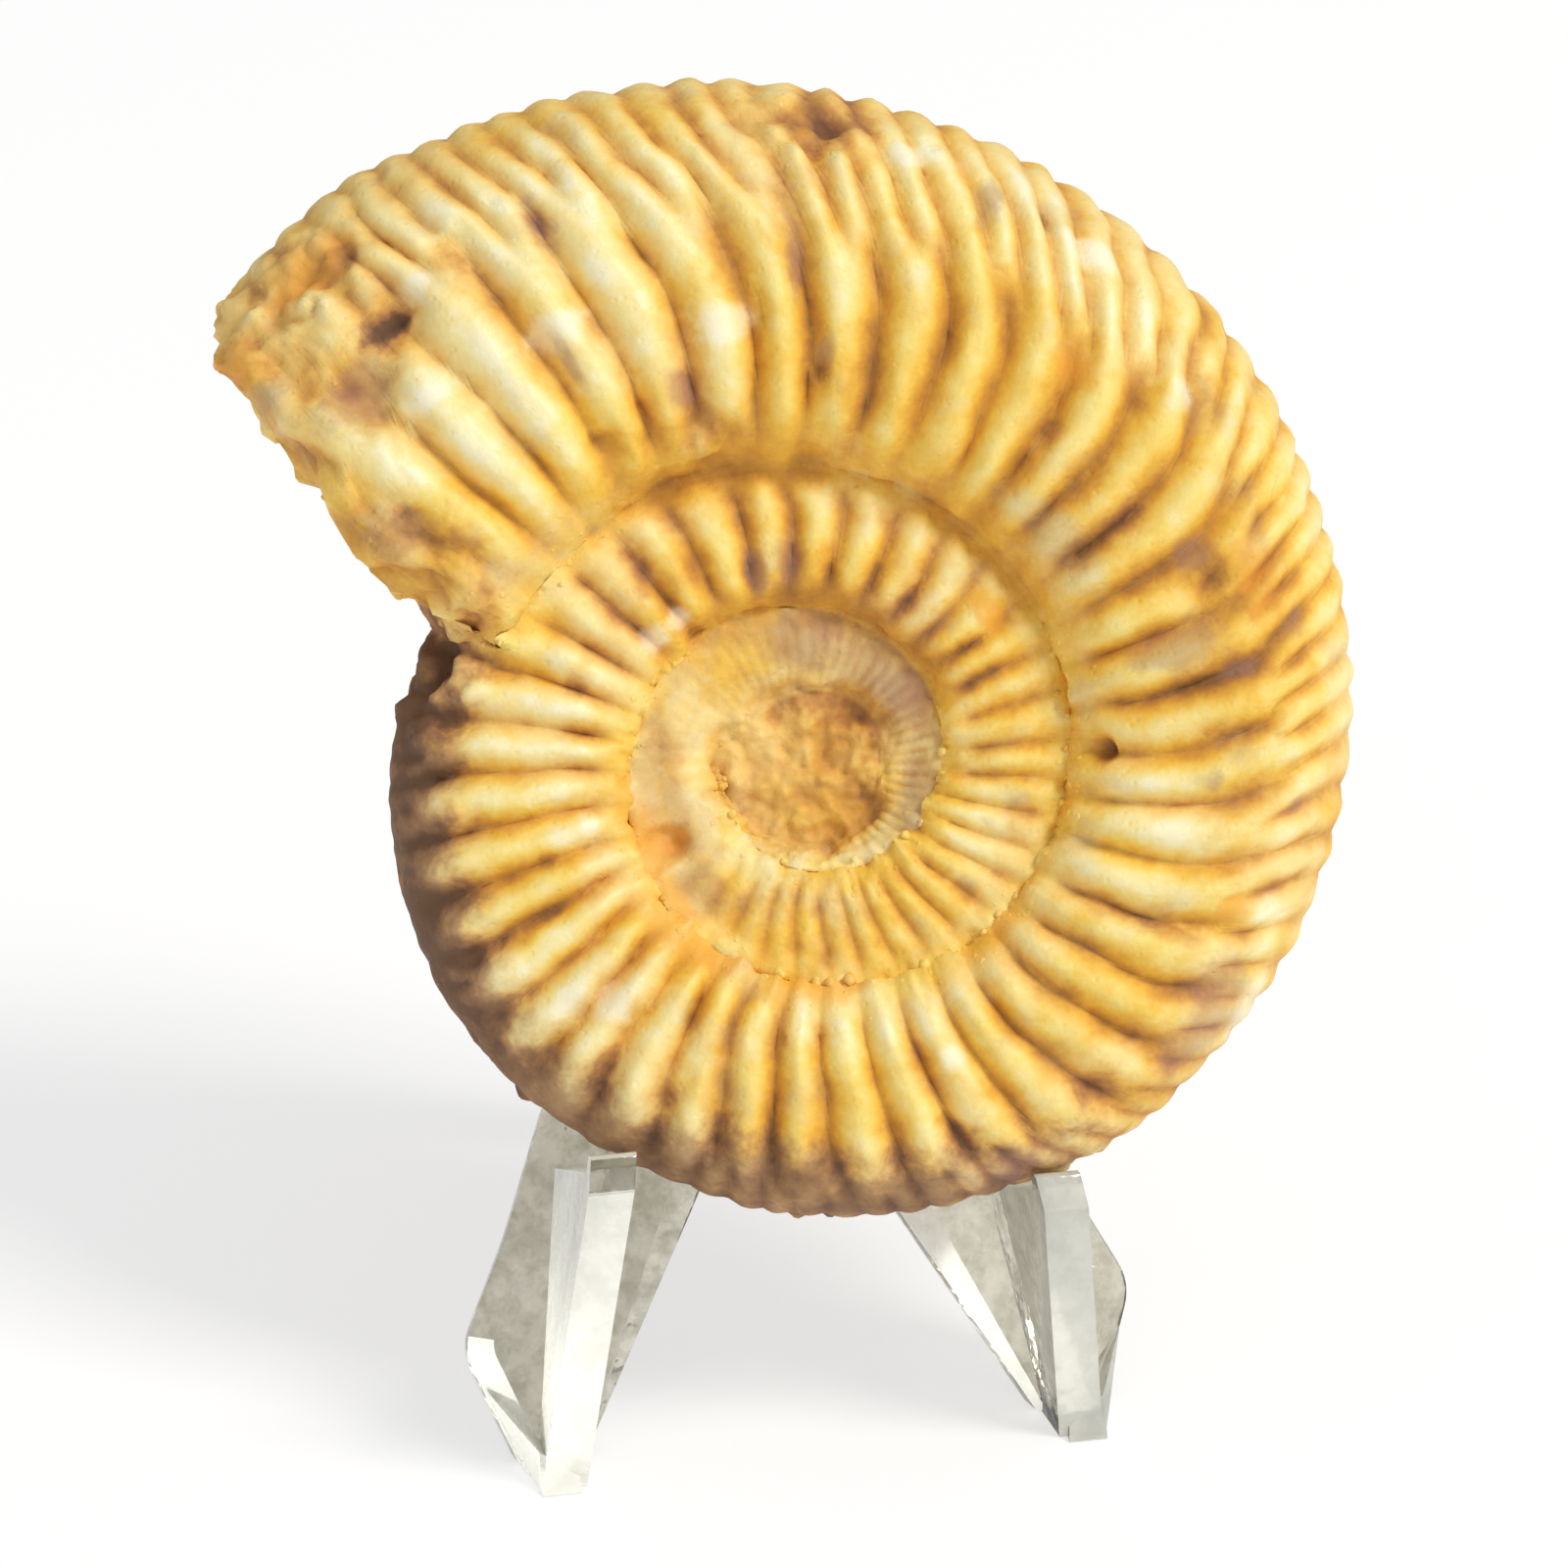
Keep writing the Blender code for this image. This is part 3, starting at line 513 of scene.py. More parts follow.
ROUGH_PLACES = (  # angle, radius, half length and half width
    (270.0, 33.0, 4.5, 2.6), (317.0, 35.4, 5.0, 3.4), (321.0, 31.5, 3.4, 3.0), (330.0, 25.0, 4.0, 4.0),
    (-12.0, 19.5, 3.5, 3.0), (300.0, 19.0, 2.0, 1.5), (288.0, 17.6, 3.0, 1.4), (28.0, 9.2, 3.0, 1.2),
    (-331.0, 8.2, 1.6, 1.6), (-45.0, 8.6, 3.0, 1.0), (205.0, 23.0, 2.0, 2.0), (334.0, 19.5, 4.0, 4.0),
)
EIGHTHS = [45.0 * step for step in range(-1, 9)]
RIM_RELIEF = (0.25, 0.1, 0.14, 0.42, 0.4, 0.4, 0.6, 0.58, 0.3, 0.1)  # share of the rib relief left at the rim
FORK_ANGLES = (-720.0, -70.0, -30.0, 45.0, 90.0, 135.0, 180.0, 225.0, 270.0, 315.0, 340.0)
FORK_STARTS = (2.0, 2.0, 0.86, 0.84, 0.8, 0.78, 0.66, 0.58, 0.58, 0.66, 0.7)
INNER_ANGLES = (-720.0, -640.0, -590.0, -520.0, -450.0, -380.0, -320.0, -285.0, -230.0, -150.0, -60.0, 0.0)
INNER_RELIEF = (0.04, 0.1, 0.3, 0.3, 0.12, 0.06, 0.06, 0.4, 0.55, 0.75, 0.95, 1.0)
# The lower left rim is darker: dirt and painted shade.
RIM_DIRT_AND_SHADE = ((-40.0, -12.0), (150.0, 95.0), (0.5, 0.92))  # angles where it starts and ends, and its fractions
KNOBS_AT, KNOB_SPREAD, KNOB_GROWTH = 0.68, 0.08, 0.35  # the knobs on the ribs at the lower left
SEAM_BAND = 1.5  # millimetres on both sides of a seam
COVER_ENDS = -0.06  # the turn number up to which the next turn lies on the flank
DEEP_SEAMS = ((185.0, 225.0), (335.0, 300.0))  # angles between which hollow seams begin and end
MOUTH_CRUMBLES = 3.2  # millimetres from the broken edge
BACK_SHIFT = 137.0  # the back has the same patches, this many degrees further along


def patch_mask(turn, radius, back, angle, middle, half_length, half_width):
    """1 in the middle of a patch and 0 outside it."""
    place = np.array([angle / 360.0])
    share = (middle - inner_radius(place)) / (rim_radius(place) - inner_radius(place))
    shifted = angle + np.where(back, BACK_SHIFT, 0.0)
    shifted = np.where(shifted > MOUTH_TURN * 360.0, shifted - 360.0, shifted)
    at = shifted / 360.0
    centre = np.where(back, inner_radius(at) + share * (rim_radius(at) - inner_radius(at)), middle)
    along = (turn - at) * 2.0 * math.pi * centre / half_length
    return smooth(1.3, 0.2, np.hypot(along, (radius - centre) / half_width))


# %% [markdown]
# ## Winding the strip
#
# The points of a column lie in a plane through the coil's axis. They are computed for all columns at once,
# and the faces then join each column to the next. The innermost turn ends in the stone that fills the
# middle, and the last one in the broken face of the mouth.

# %% The base mesh
MOUTH_ROWS = 22
CORE_RINGS = 22
# The stone of the middle gets painted shade, darkest at this angle on its upper right, under the wall around
# it.
CORE_PAINTED_SHADE = math.radians(235.0)  # where the stone of the middle is darkest
CORE_POINTS = 170


def coil_points(turn, radius, height):
    """Positions in the coil's own frame: front towards -Y."""
    angle = turn * 2.0 * math.pi
    return np.stack((-radius * np.cos(angle), -height, -radius * np.sin(angle)), axis=-1)


class Points:
    """The points made so far, with what each one knows about its place on the shell."""

    PLACE_MARKS = ("across", "fork", "rib_place", "tall", "ribbing")
    STONE_MARKS = ("broken", "filling", "seam", "deep", "rough", "scar")
    MARKS = PLACE_MARKS + STONE_MARKS + PATCH_KINDS

    def __init__(self):
        self.positions = []
        self.marks = {name: [] for name in self.MARKS}
        self.total = 0

    def add(self, positions, **marks):
        """Adds points and returns their numbers."""
        positions = np.asarray(positions, float).reshape(-1, 3)
        count = len(positions)
        self.positions.append(positions)
        for name in self.MARKS:
            value = np.asarray(marks.get(name, 0.0), float)
            self.marks[name].append(np.broadcast_to(value.reshape(-1), (count,)))
        self.total += count
        return np.arange(self.total - count, self.total)


def side_marks(turn, fraction, radius, back):
    """What the points of the coil know: ribs, seams, patches, rough places and scars."""
    angle = turn * 360.0
    inner = inner_radius(turn)
    height = rim_radius(turn) - inner
    rises = smooth(0.0, 0.2, fraction) * 0.9 + 0.1
    ribs_show = rises * np.interp(angle, INNER_ANGLES, INNER_RELIEF)
    rim_share = np.interp(angle, EIGHTHS, RIM_RELIEF)
    ribs_show = ribs_show * (1.0 - (1.0 - rim_share) * smooth(0.78, 0.97, fraction) * (turn > -0.1))
    knobs = np.exp(-(((fraction - KNOBS_AT) / KNOB_SPREAD) ** 2))
    knobs = knobs * smooth(-30.0, 10.0, angle) * smooth(125.0, 95.0, angle)
    to_mouth = (broken_edge(fraction) - turn) * math.tau * radius
    crumbled = smooth(MOUTH_CRUMBLES, 0.2, to_mouth)
    cover = seam_radius(turn + 1.0)
    step = smooth(SEAM_BAND, 0.0, radius - inner)
    under = smooth(SEAM_BAND, 0.0, cover - radius) * (turn < COVER_ENDS)
    seam = np.maximum(step * (1.0 - 0.6 * smooth(-0.95, -1.05, turn)), under)
    starts, ends = DEEP_SEAMS
    deep = smooth(*starts, angle % 360.0) * smooth(*ends, angle % 360.0)
    scar_masks = [(depth, patch_mask(turn, radius, back, *where)) for *where, depth in SCARS]
    rough_masks = [patch_mask(turn, radius, back, *where) for where in ROUGH_PLACES]
    rough = np.max([0.6 * crumbled, 0.35 * seam, *rough_masks, *[mask for _, mask in scar_masks]], axis=0)
    sound = 1.0 - 0.75 * rough
    bare = 1.0 - 0.8 * under
    marks = {
        "filling": smooth(CORE_SPREAD, 0.0, radius - core_radius(turn)),
        "across": fraction,
        "fork": fraction - np.interp(angle, FORK_ANGLES, FORK_STARTS),
        "rib_place": rib_count(turn - rib_lean(turn, fraction)),
        "tall": np.sqrt(height) * ribs_show * (1.0 + KNOB_GROWTH * knobs) * sound * bare,
        "ribbing": np.clip(ribs_show * 1.2, 0.0, 1.0) * sound * bare,
        "seam": seam,
        "deep": seam * deep,
        "rough": rough,
        "scar": sum(depth * mask for depth, mask in scar_masks),
    }
    for kind, places in PATCHES.items():
        marks[kind] = np.max([patch_mask(turn, radius, back, *where) for where in places], axis=0)
    # The lower left rim is darker, as dirt and painted shade, and goes into the umber mark.
    starts, ends, across = RIM_DIRT_AND_SHADE
    dirt_and_shade = smooth(*starts, angle) * smooth(*ends, angle) * smooth(*across, fraction) * (turn > -0.2)
    marks["umber"] = np.maximum(marks["umber"], dirt_and_shade)
    marks["grey"] = np.maximum(marks["grey"], 0.5 * smooth(-0.8, -0.9, turn))
    return marks


def wind_strip(points):
    """Adds the points of the strip, the middle and the mouth, and returns their faces."""
    turns = column_turns()
    fractions = row_fractions(turns)
    places = placed_turns(turns, fractions)
    inner = inner_radius(places)
    radius = inner + fractions * (rim_radius(places) - inner)
    to_lip = np.clip((broken_edge(fractions) - places) * math.tau * radius / LIP_LENGTH, 0.0, 1.0)
    lip = np.sqrt(1.0 - (1.0 - to_lip) ** 2)
    height = flank_height(places, fractions) * (1.0 - LIP_DROP + LIP_DROP * lip)
    height[:, -1] = 0.0
    rows = COVERED_ROWS + OPEN_ROWS
    numbers = {}
    for side in (1, -1):
        wanted = np.ones((len(turns), rows + 1), bool)
        wanted[turns < SPLIT_TURN - 1e-9, COVERED_ROWS + 1 :] = False
        wanted[0, 1:] = False
        if side < 0:
            wanted[:, -1] = False
        grid = np.full(wanted.shape, -1)
        marks = side_marks(places[wanted], fractions[wanted], radius[wanted], side < 0)
        positions = coil_points(places[wanted], radius[wanted], side * height[wanted])
        grid[wanted] = points.add(positions, **marks)
        grid[0, : COVERED_ROWS + 1] = grid[0, 0]
        numbers[side] = grid
    open_columns = numbers[1][:, -1] >= 0
    numbers[-1][open_columns, -1] = numbers[1][open_columns, -1]
    faces = []
    for side in (1, -1):
        grid = numbers[side]
        for low, high in zip(grid, grid[1:]):
            last = rows if low[-1] >= 0 else COVERED_ROWS
            corners = np.stack((low[:last], high[:last], high[1 : last + 1], low[1 : last + 1]), axis=1)
            faces += [tuple(dict.fromkeys(corner)) for corner in corners.tolist()]
        split = int(np.argmax(turns >= SPLIT_TURN - 1e-9))
        first_wall = int(np.argmax(turns >= -1.0 - 1e-9))
        edge = [(places[i, COVERED_ROWS] + 1.0, int(grid[i, COVERED_ROWS])) for i in range(split + 1)]
        wall = [(places[i, 0], int(grid[i, 0])) for i in range(first_wall, len(turns))]
        faces += zip_edges(edge, wall)
        faces += fill_core(points, [int(grid[i, 0]) for i in range(first_wall + 1)], side)
    faces += fill_mouth(points, numbers, split)
    return faces


def fill_core(points, edge, side):
    """The stone in the middle: rings with fewer and fewer points."""
    faces = []
    outer = [(math.tau * i / (len(edge) - 1), number) for i, number in enumerate(edge)]
    for ring in range(1, CORE_RINGS + 1):
        share = 1.0 - ring / (CORE_RINGS + 1)
        count = max(int(CORE_POINTS * share), 6)
        angles = np.arange(count) * math.tau / count
        dip = CORE_DIP * (1.0 - share**2)
        radius = core_radius(angles / math.tau) * share
        where = coil_points(angles / math.tau, radius, np.full(count, side * (CORE_HEIGHT - dip)))
        # Painted shade: browner towards the upper right of the middle.
        painted_shade = 0.7 * smooth(-0.9, 1.0, np.cos(angles - CORE_PAINTED_SHADE)) * share
        numbers = points.add(where, filling=1.0, fork=-1.0, brown=painted_shade, grey=0.3)
        inner = list(zip(angles, numbers.tolist())) + [(math.tau, int(numbers[0]))]
        faces += zip_edges(outer, inner)
        if ring == 1:
            faces.append((edge[0], edge[-1], int(numbers[0])))
        outer = inner
    middle = points.add([(0.0, -side * (CORE_HEIGHT - CORE_DIP), 0.0)], filling=1.0, fork=-1.0)[0]
    faces += [(one, two, int(middle)) for (_, one), (_, two) in zip(outer, outer[1:])]
    return faces


def spread_along(line, places):
    """Points at the given shares, from 0 to 1, of the way along a line of points."""
    at = places * (len(line) - 1)
    return np.array([np.interp(at, range(len(line)), line[:, axis]) for axis in range(3)]).T


def fill_mouth(points, grids, split):
    """The broken face between the last column and the rim of the turn before it."""
    front, back = grids[1], grids[-1]
    outer = [*front[-1], *back[-1][-2::-1]]
    inner = [*front[split][COVERED_ROWS:], *back[split][COVERED_ROWS:][-2::-1]]
    positions = np.concatenate(points.positions)
    outer_line, inner_line = positions[outer], positions[inner]
    faces = []
    before = [(i / (len(outer) - 1), int(number)) for i, number in enumerate(outer)]
    ends = [[before[0][1]], [before[-1][1]]]
    for row in range(1, MOUTH_ROWS):
        share = row / MOUTH_ROWS
        count = int(len(outer) + (len(inner) - len(outer)) * share)
        places = np.linspace(0.0, 1.0, count)
        line = (1.0 - share) * spread_along(outer_line, places) + share * spread_along(inner_line, places)
        inside = smooth(0.0, 0.03, places) * smooth(1.0, 0.97, places)
        inside = inside * smooth(0.0, 0.12, share) * smooth(1.0, 0.9, share)
        rough = np.maximum(inside, 0.3)
        # Umber rises towards the turn before: dirt, and painted shade where the broken face meets it.
        numbers = points.add(line, across=0.5, fork=-1.0, broken=inside, rough=rough, umber=0.5 * share)
        after = list(zip(places, numbers.tolist()))
        faces += zip_edges(before, after)
        for end, index in zip(ends, (0, -1)):
            end.append(after[index][1])
        before = after
    last = [(i / (len(inner) - 1), int(number)) for i, number in enumerate(inner)]
    faces += zip_edges(before, last)
    for end, index in zip(ends, (0, -1)):
        end.append(last[index][1])
        faces += [(end[0], one, two) for one, two in zip(end[1:], end[2:])]
    return faces


def base_mesh():
    """The smooth shell as a mesh in metres, placed on the easel, with a named attribute for each mark."""
    points = Points()
    faces = wind_strip(points)
    placed = np.concatenate(points.positions) @ np.array(coil_place.to_3x3()).T + np.array(SHELL_CENTRE)
    mesh = bpy.data.meshes.new("ammonite_base")
    mesh.from_pydata(placed * MM, [], faces)
    for name in Points.MARKS:
        mesh.attributes.new(name, "FLOAT", "POINT").data.foreach_set(
            "value", np.concatenate(points.marks[name]).astype(np.float32)
        )
    bm = bmesh.new()
    bm.from_mesh(mesh)
    bmesh.ops.recalc_face_normals(bm, faces=bm.faces)
    open_edges = sum(1 for edge in bm.edges if len(edge.link_faces) != 2)
    bm.to_mesh(mesh)
    bm.free()
    print("strip:", len(mesh.vertices), "points,", len(mesh.polygons), "faces,", open_edges, "open edges")
    return mesh


# %% [markdown]
# ## Raising the ribs
#
# A tree of Geometry Nodes moves every point along its normal. The rib number of a point says where it is
# across its rib, and a cosine of that gives a round crest and a soft groove. Beyond the place where a rib
# parts, the wave fades over to one twice as fast, and as that wave slowly slips against the first, some
# ribs fork and some get a new rib beside them. Noise makes all of it uneven, as growth and wear did. The
# height of the crest and of the lumps is stored for the material.

# %% The rib tree
RIB_SETTINGS = {
    "Rib Height": 0.29,
    "Side Rib Share": 0.55,
    "Parting Length": 0.14,
    "Crest Power": 0.5,
    "Wander": 0.5,
    "Unevenness": 1.3,
    "Lump Height": 0.55,
    "Chip Depth": 0.3,
    "Stone Size": 1.5,
    "Stone Height": 2.6,
    "Rough Height": 2.0,
    "Nodule Size": 2.1,
    "Nodule Height": 2.0,
    "Seam Fill": 0.68,
    "Mouth Height": 1.2,
    "Seed": 3.0,
}
NODULE_WARP = 1.6  # millimetres by which noise pulls the nodules out of round


def named(tree, name):
    """A named attribute of the points, in a geometry tree."""
    return add(tree, "GeometryNodeInputNamedAttribute", {"Name": name}, data_type="FLOAT").outputs[0]


def centred(tree, value, middle=0.5):
    return calc(tree, "SUBTRACT", value, middle)


def wave(tree, place, turns, power):
    """A row of round crests between 0 and 1, with the crests at half numbers when turns is 1."""
    swing = calc(tree, "COSINE", calc(tree, "MULTIPLY", place, math.tau * turns))
    share = calc(tree, "MULTIPLY_ADD", swing, -0.5, 0.5)
    return calc(tree, "POWER", calc(tree, "MAXIMUM", share, 0.0), power)


def dressing_tree(name, settings, **others):
    """A tree that takes a geometry, numbers and a stone, and puts out a geometry."""
    geometry = {"Geometry": ("NodeSocketGeometry", None)}
    numbers = {label: ("NodeSocketFloat", value) for label, value in settings.items()}
    inputs = {**geometry, **numbers, **others, "Stone": ("NodeSocketMaterial", None)}
    return new_group(name, "GeometryNodeTree", inputs, geometry)


def finish_tree(tree, geometry, given, put_out):
    """Makes any instances real and gives the result its stone."""
    real = add(tree, "GeometryNodeRealizeInstances", {"Geometry": geometry}).outputs[0]
    stone = {"Geometry": real, "Material": given.outputs["Stone"]}
    tree.links.new(add(tree, "GeometryNodeSetMaterial", stone).outputs[0], put_out.inputs[0])


def rib_tree():
    tree, given, put_out = dressing_tree("shell_ribs", RIB_SETTINGS)
    dial = given.outputs
    here = tree.nodes.new("GeometryNodeInputPosition").outputs[0]
    seed = dial["Seed"]

    def times(*values):
        result = values[0]
        for value in values[1:]:
            result = calc(tree, "MULTIPLY", result, value)
        return result

    def uneven(size, detail, shift=0.0):
        """Noise around 0, at a size in millimetres."""
        return centred(tree, cloud(tree, here, size, detail, calc(tree, "ADD", seed, shift)))

    place = calc(tree, "ADD", named(tree, "rib_place"), times(uneven(5.0, 1.0), dial["Wander"]))
    main = wave(tree, place, 1.0, dial["Crest Power"])
    slip = times(uneven(22.0, 0.0, 3.0), 1.6)
    side = wave(tree, calc(tree, "ADD", place, slip), 2.0, dial["Crest Power"])
    fork = calc(tree, "ADD", named(tree, "fork"), times(uneven(8.0, 1.0, 5.0), 0.5))
    parted = ramp(tree, fork, 0.0, dial["Parting Length"])
    crest = mix_value(tree, parted, main, side)

    share = mix_value(tree, parted, 1.0, dial["Side Rib Share"])
    patchy = calc(tree, "ADD", 1.0, times(uneven(3.2, 2.0, 1.0), dial["Unevenness"]))
    ribs = times(dial["Rib Height"], named(tree, "tall"), share, patchy, centred(tree, crest, 0.6))

    lumps = times(uneven(2.4, 3.0, 2.0), dial["Lump Height"])
    swell = times(uneven(9.0, 1.0, 4.0), 0.7)
    knocks = ramp(tree, cloud(tree, here, 1.9, 2.0, calc(tree, "ADD", seed, 7.0), 0.6), 0.58, 0.74)
    chips = times(knocks, crest, dial["Chip Depth"])
    sockets = {"Vector": here, "Scale": 0.7 / MM, "Detail": 1.0}
    bent = add(tree, "ShaderNodeTexNoise", sockets).outputs["Color"]
    sockets = {0: bent, "Scale": NODULE_WARP * MM}
    bent = add(tree, "ShaderNodeVectorMath", sockets, operation="SCALE").outputs[0]
    bent = add(tree, "ShaderNodeVectorMath", {0: here, 1: bent}).outputs[0]

    def nodules(size):
        """Round lumps against each other, between about -0.2 and 0.45 high."""
        sockets = {"Vector": bent, "Scale": calc(tree, "DIVIDE", 1.0 / MM, size), "Smoothness": 0.5}
        cells = add(tree, "ShaderNodeTexVoronoi", sockets, feature="SMOOTH_F1").outputs["Distance"]
        return calc(tree, "SUBTRACT", 0.45, cells)

    stone = calc(tree, "ADD", times(nodules(dial["Stone Size"]), 0.3), times(uneven(1.8, 2.0, 18.0), 1.0))
    stone = times(stone, dial["Stone Height"], named(tree, "filling"))
    gritty = times(nodules(dial["Nodule Size"]), dial["Nodule Height"])
    gritty = calc(tree, "ADD", gritty, times(uneven(2.0, 2.0, 10.0), dial["Rough Height"]))
    gritty = times(gritty, named(tree, "rough"))
    rough_mouth = times(uneven(3.6, 2.0, 11.0), dial["Mouth Height"], named(tree, "broken"))
    packed = calc(tree, "SUBTRACT", named(tree, "seam"), named(tree, "deep"))
    filling = times(calc(tree, "ADD", dial["Seam Fill"], times(uneven(1.1, 2.0, 12.0), 1.6)), packed)
    relief = lumps
    for layer in (stone, gritty, filling):
        relief = calc(tree, "ADD", relief, layer)
    raised = relief
    for layer in (ribs, swell, rough_mouth):
        raised = calc(tree, "ADD", raised, layer)
    for layer in (chips, named(tree, "scar")):
        raised = calc(tree, "SUBTRACT", raised, layer)

    normal = tree.nodes.new("GeometryNodeInputNormal").outputs[0]
    lift = {0: normal, "Scale": calc(tree, "MULTIPLY", raised, MM)}
    offset = add(tree, "ShaderNodeVectorMath", lift, operation="SCALE").outputs[0]
    stored = dial["Geometry"]
    for name, value in (("crest", crest), ("relief", relief)):
        sockets = {"Geometry": stored, "Name": name, "Value": value}
        stored = add(tree, "GeometryNodeStoreNamedAttribute", sockets, data_type="FLOAT").outputs[0]
    moved = add(tree, "GeometryNodeSetPosition", {"Geometry": stored, "Offset": offset}).outputs[0]
    finish_tree(tree, moved, given, put_out)
    return tree


def run_tree(thing, tree, settings):
    """Puts a tree on an object, sets its inputs, and turns the result into a plain mesh."""
    modifier = thing.modifiers.new(tree.name, "NODES")
    modifier.node_group = tree
    sockets = {item.name: item.identifier for item in tree.interface.items_tree if item.in_out == "INPUT"}
    for name, value in settings.items():
        modifier[sockets[name]] = value
    bpy.context.view_layer.update()
    graph = bpy.context.evaluated_depsgraph_get()
    result = bpy.data.meshes.new_from_object(
        thing.evaluated_get(graph), preserve_all_data_layers=True, depsgraph=graph
    )
    thing.modifiers.remove(modifier)
    thing.data = result
    return thing


def new_object(name, mesh):
    thing = bpy.data.objects.new(name, mesh)
    scene.collection.objects.link(thing)
    return thing


# %% [markdown]
# ## The patch and grain groups
#
# Three effects are node groups, built once and placed where they are needed with their own sizes: a patch
# with a ragged edge, which every kind of patch uses, of stain and of painted light alike, the cloudy
# mottling of the plastics, and the height of the stone's fine grain.


# %% Shader groups
def paint(red, green, blue):
    """A colour as a screen shows it, 0 to 255, as the linear values that nodes use."""
    linear = [value / 255.0 for value in (red, green, blue)]
    return (*[x / 12.92 if x <= 0.04045 else ((x + 0.055) / 1.055) ** 2.4 for x in linear], 1.0)


def effect_group(name, inputs, put_out_name):
    """A shader group with a place and plain numbers as inputs, and its place in noise cells a size across."""
    sockets = {"Place": ("NodeSocketVector", None)}
    sockets.update({label: ("NodeSocketFloat", value) for label, value in inputs.items()})
    outputs = {put_out_name: ("NodeSocketFloat", None)}
    tree, given, put_out = new_group(name, "ShaderNodeTree", sockets, outputs)
    scale = calc(tree, "DIVIDE", 1.0 / MM, given.outputs["Size"])
    return tree, given.outputs, put_out.inputs[0], scale


def seeded_noise(tree, dial, scale, detail, roughness):
    sockets = {"Vector": dial["Place"], "W": dial["Seed"], "Scale": scale}
    sockets.update({"Detail": detail, "Roughness": roughness})
    return add(tree, "ShaderNodeTexNoise", sockets, noise_dimensions="4D").outputs[0]


def ragged_group():
    """A smooth mask broken up by noise, so that every patch, of stain and of painted light alike, has a
    ragged edge.
    """
    inputs = {"Mask": 0.0, "Size": 1.5, "Raggedness": 0.9, "Seed": 0.0}
    tree, dial, result, scale = effect_group("ragged_patch", inputs, "Mask")
    grain = seeded_noise(tree, dial, scale, 4.0, 0.6)
    torn = calc(tree, "MULTIPLY", centred(tree, grain), calc(tree, "MULTIPLY", dial["Raggedness"], 2.0))
    present = ramp(tree, dial["Mask"], 0.0, 0.15)
    value = calc(tree, "ADD", dial["Mask"], torn)
    tree.links.new(calc(tree, "MULTIPLY", ramp(tree, value, 0.12, 1.0), present), result)
    return tree


def mottling_group():
    """Cloudy patches: 0 and 1 with soft edges."""
    inputs = {"Size": 3.0, "Amount": 0.5, "Softness": 0.12, "Seed": 0.0}
    tree, dial, result, scale = effect_group("mottling", inputs, "Mask")
    grain = seeded_noise(tree, dial, scale, 5.0, 0.62)
    edge = ramp(tree, dial["Amount"], 0.0, 1.0, 0.7, 0.3)
    low = calc(tree, "SUBTRACT", edge, dial["Softness"])
    high = calc(tree, "ADD", edge, dial["Softness"])
    tree.links.new(ramp(tree, grain, low, high), result)
    return tree


def grain_group():
    """Height of a fine stony surface, for a bump."""
    tree, dial, result, scale = effect_group("stone_grain", {"Size": 0.35, "Pits": 0.5}, "Height")
    sockets = {"Vector": dial["Place"], "Scale": scale, "Detail": 4.0, "Roughness": 0.7}
    fine = add(tree, "ShaderNodeTexNoise", sockets).outputs[0]
    sockets = {"Vector": dial["Place"], "Scale": calc(tree, "MULTIPLY", scale, 0.6)}
    cells = add(tree, "ShaderNodeTexVoronoi", sockets).outputs["Distance"]
    pits = calc(tree, "MULTIPLY", ramp(tree, cells, 0.05, 0.3, -1.0, 0.0), dial["Pits"])
    tree.links.new(calc(tree, "ADD", fine, pits), result)
    return tree


RAGGED = ragged_group()
MOTTLING = mottling_group()
GRAIN = grain_group()


def placed(tree, group, **sockets):
    """What a group puts out, placed in a material with its own values."""
    return add(tree, "ShaderNodeGroup", sockets, node_tree=group).outputs[0]


# %% [markdown]
# ## The stone
#
# The stone's colour goes from white over cream, gold and ochre to brown, with how much iron and dirt it
# took up. So one number is added up from everything that changes it: little on a worn crest, more in a
# groove, still more in a pit or a seam, with clouds and streaks of noise. The same number also carries
# painted light: painted shade in the hollow seams, on the lower left rim, at the broken mouth, in the middle
# and in broad patches, and painted highlights in white ones. A colour ramp turns the number into a colour.
# A second ramp holds the yellower colours of the golden patches, and a third the greyer ones of weathered
# places and of the umber dirt and painted shade.

# %% Stone material
PLAIN_RAMP = (
    (0.00, (250, 241, 198)),
    (0.14, (248, 229, 158)),
    (0.36, (243, 208, 124)),
    (0.52, (231, 184, 96)),
    (0.66, (206, 149, 76)),
    (0.80, (176, 120, 68)),
    (0.92, (148, 99, 60)),
    (1.00, (124, 82, 52)),
)
GOLD_RAMP = (
    (0.00, (250, 236, 176)),
    (0.22, (247, 218, 118)),
    (0.42, (240, 192, 70)),
    (0.60, (220, 160, 54)),
    (0.80, (184, 126, 50)),
    (1.00, (138, 94, 48)),
)
WEATHERED_RAMP = (
    (0.00, (236, 226, 198)),
    (0.30, (216, 196, 150)),
    (0.55, (184, 148, 106)),
    (0.80, (142, 106, 74)),
    (1.00, (104, 74, 50)),
)
STAIN_START = 0.47
GROOVE_SHARE = 0.52  # how much a groove is darker than a crest
CLOUD_SHARES = {7.0: 0.5, 2.6: 0.36, 1.0: 0.24, 0.35: 0.14}  # by the size of the cloud in millimetres
STREAK_SHARE = 0.6
# The hollow seams on the upper right are a little darker: painted shade.
SEAM_SHARE, DEEP_SHADE_SHARE, SCAR_SHARE = 0.05, 0.04, 0.08
RELIEF_SHARES = (-0.36, -0.2)  # of lumps, on the ribs and on the filling
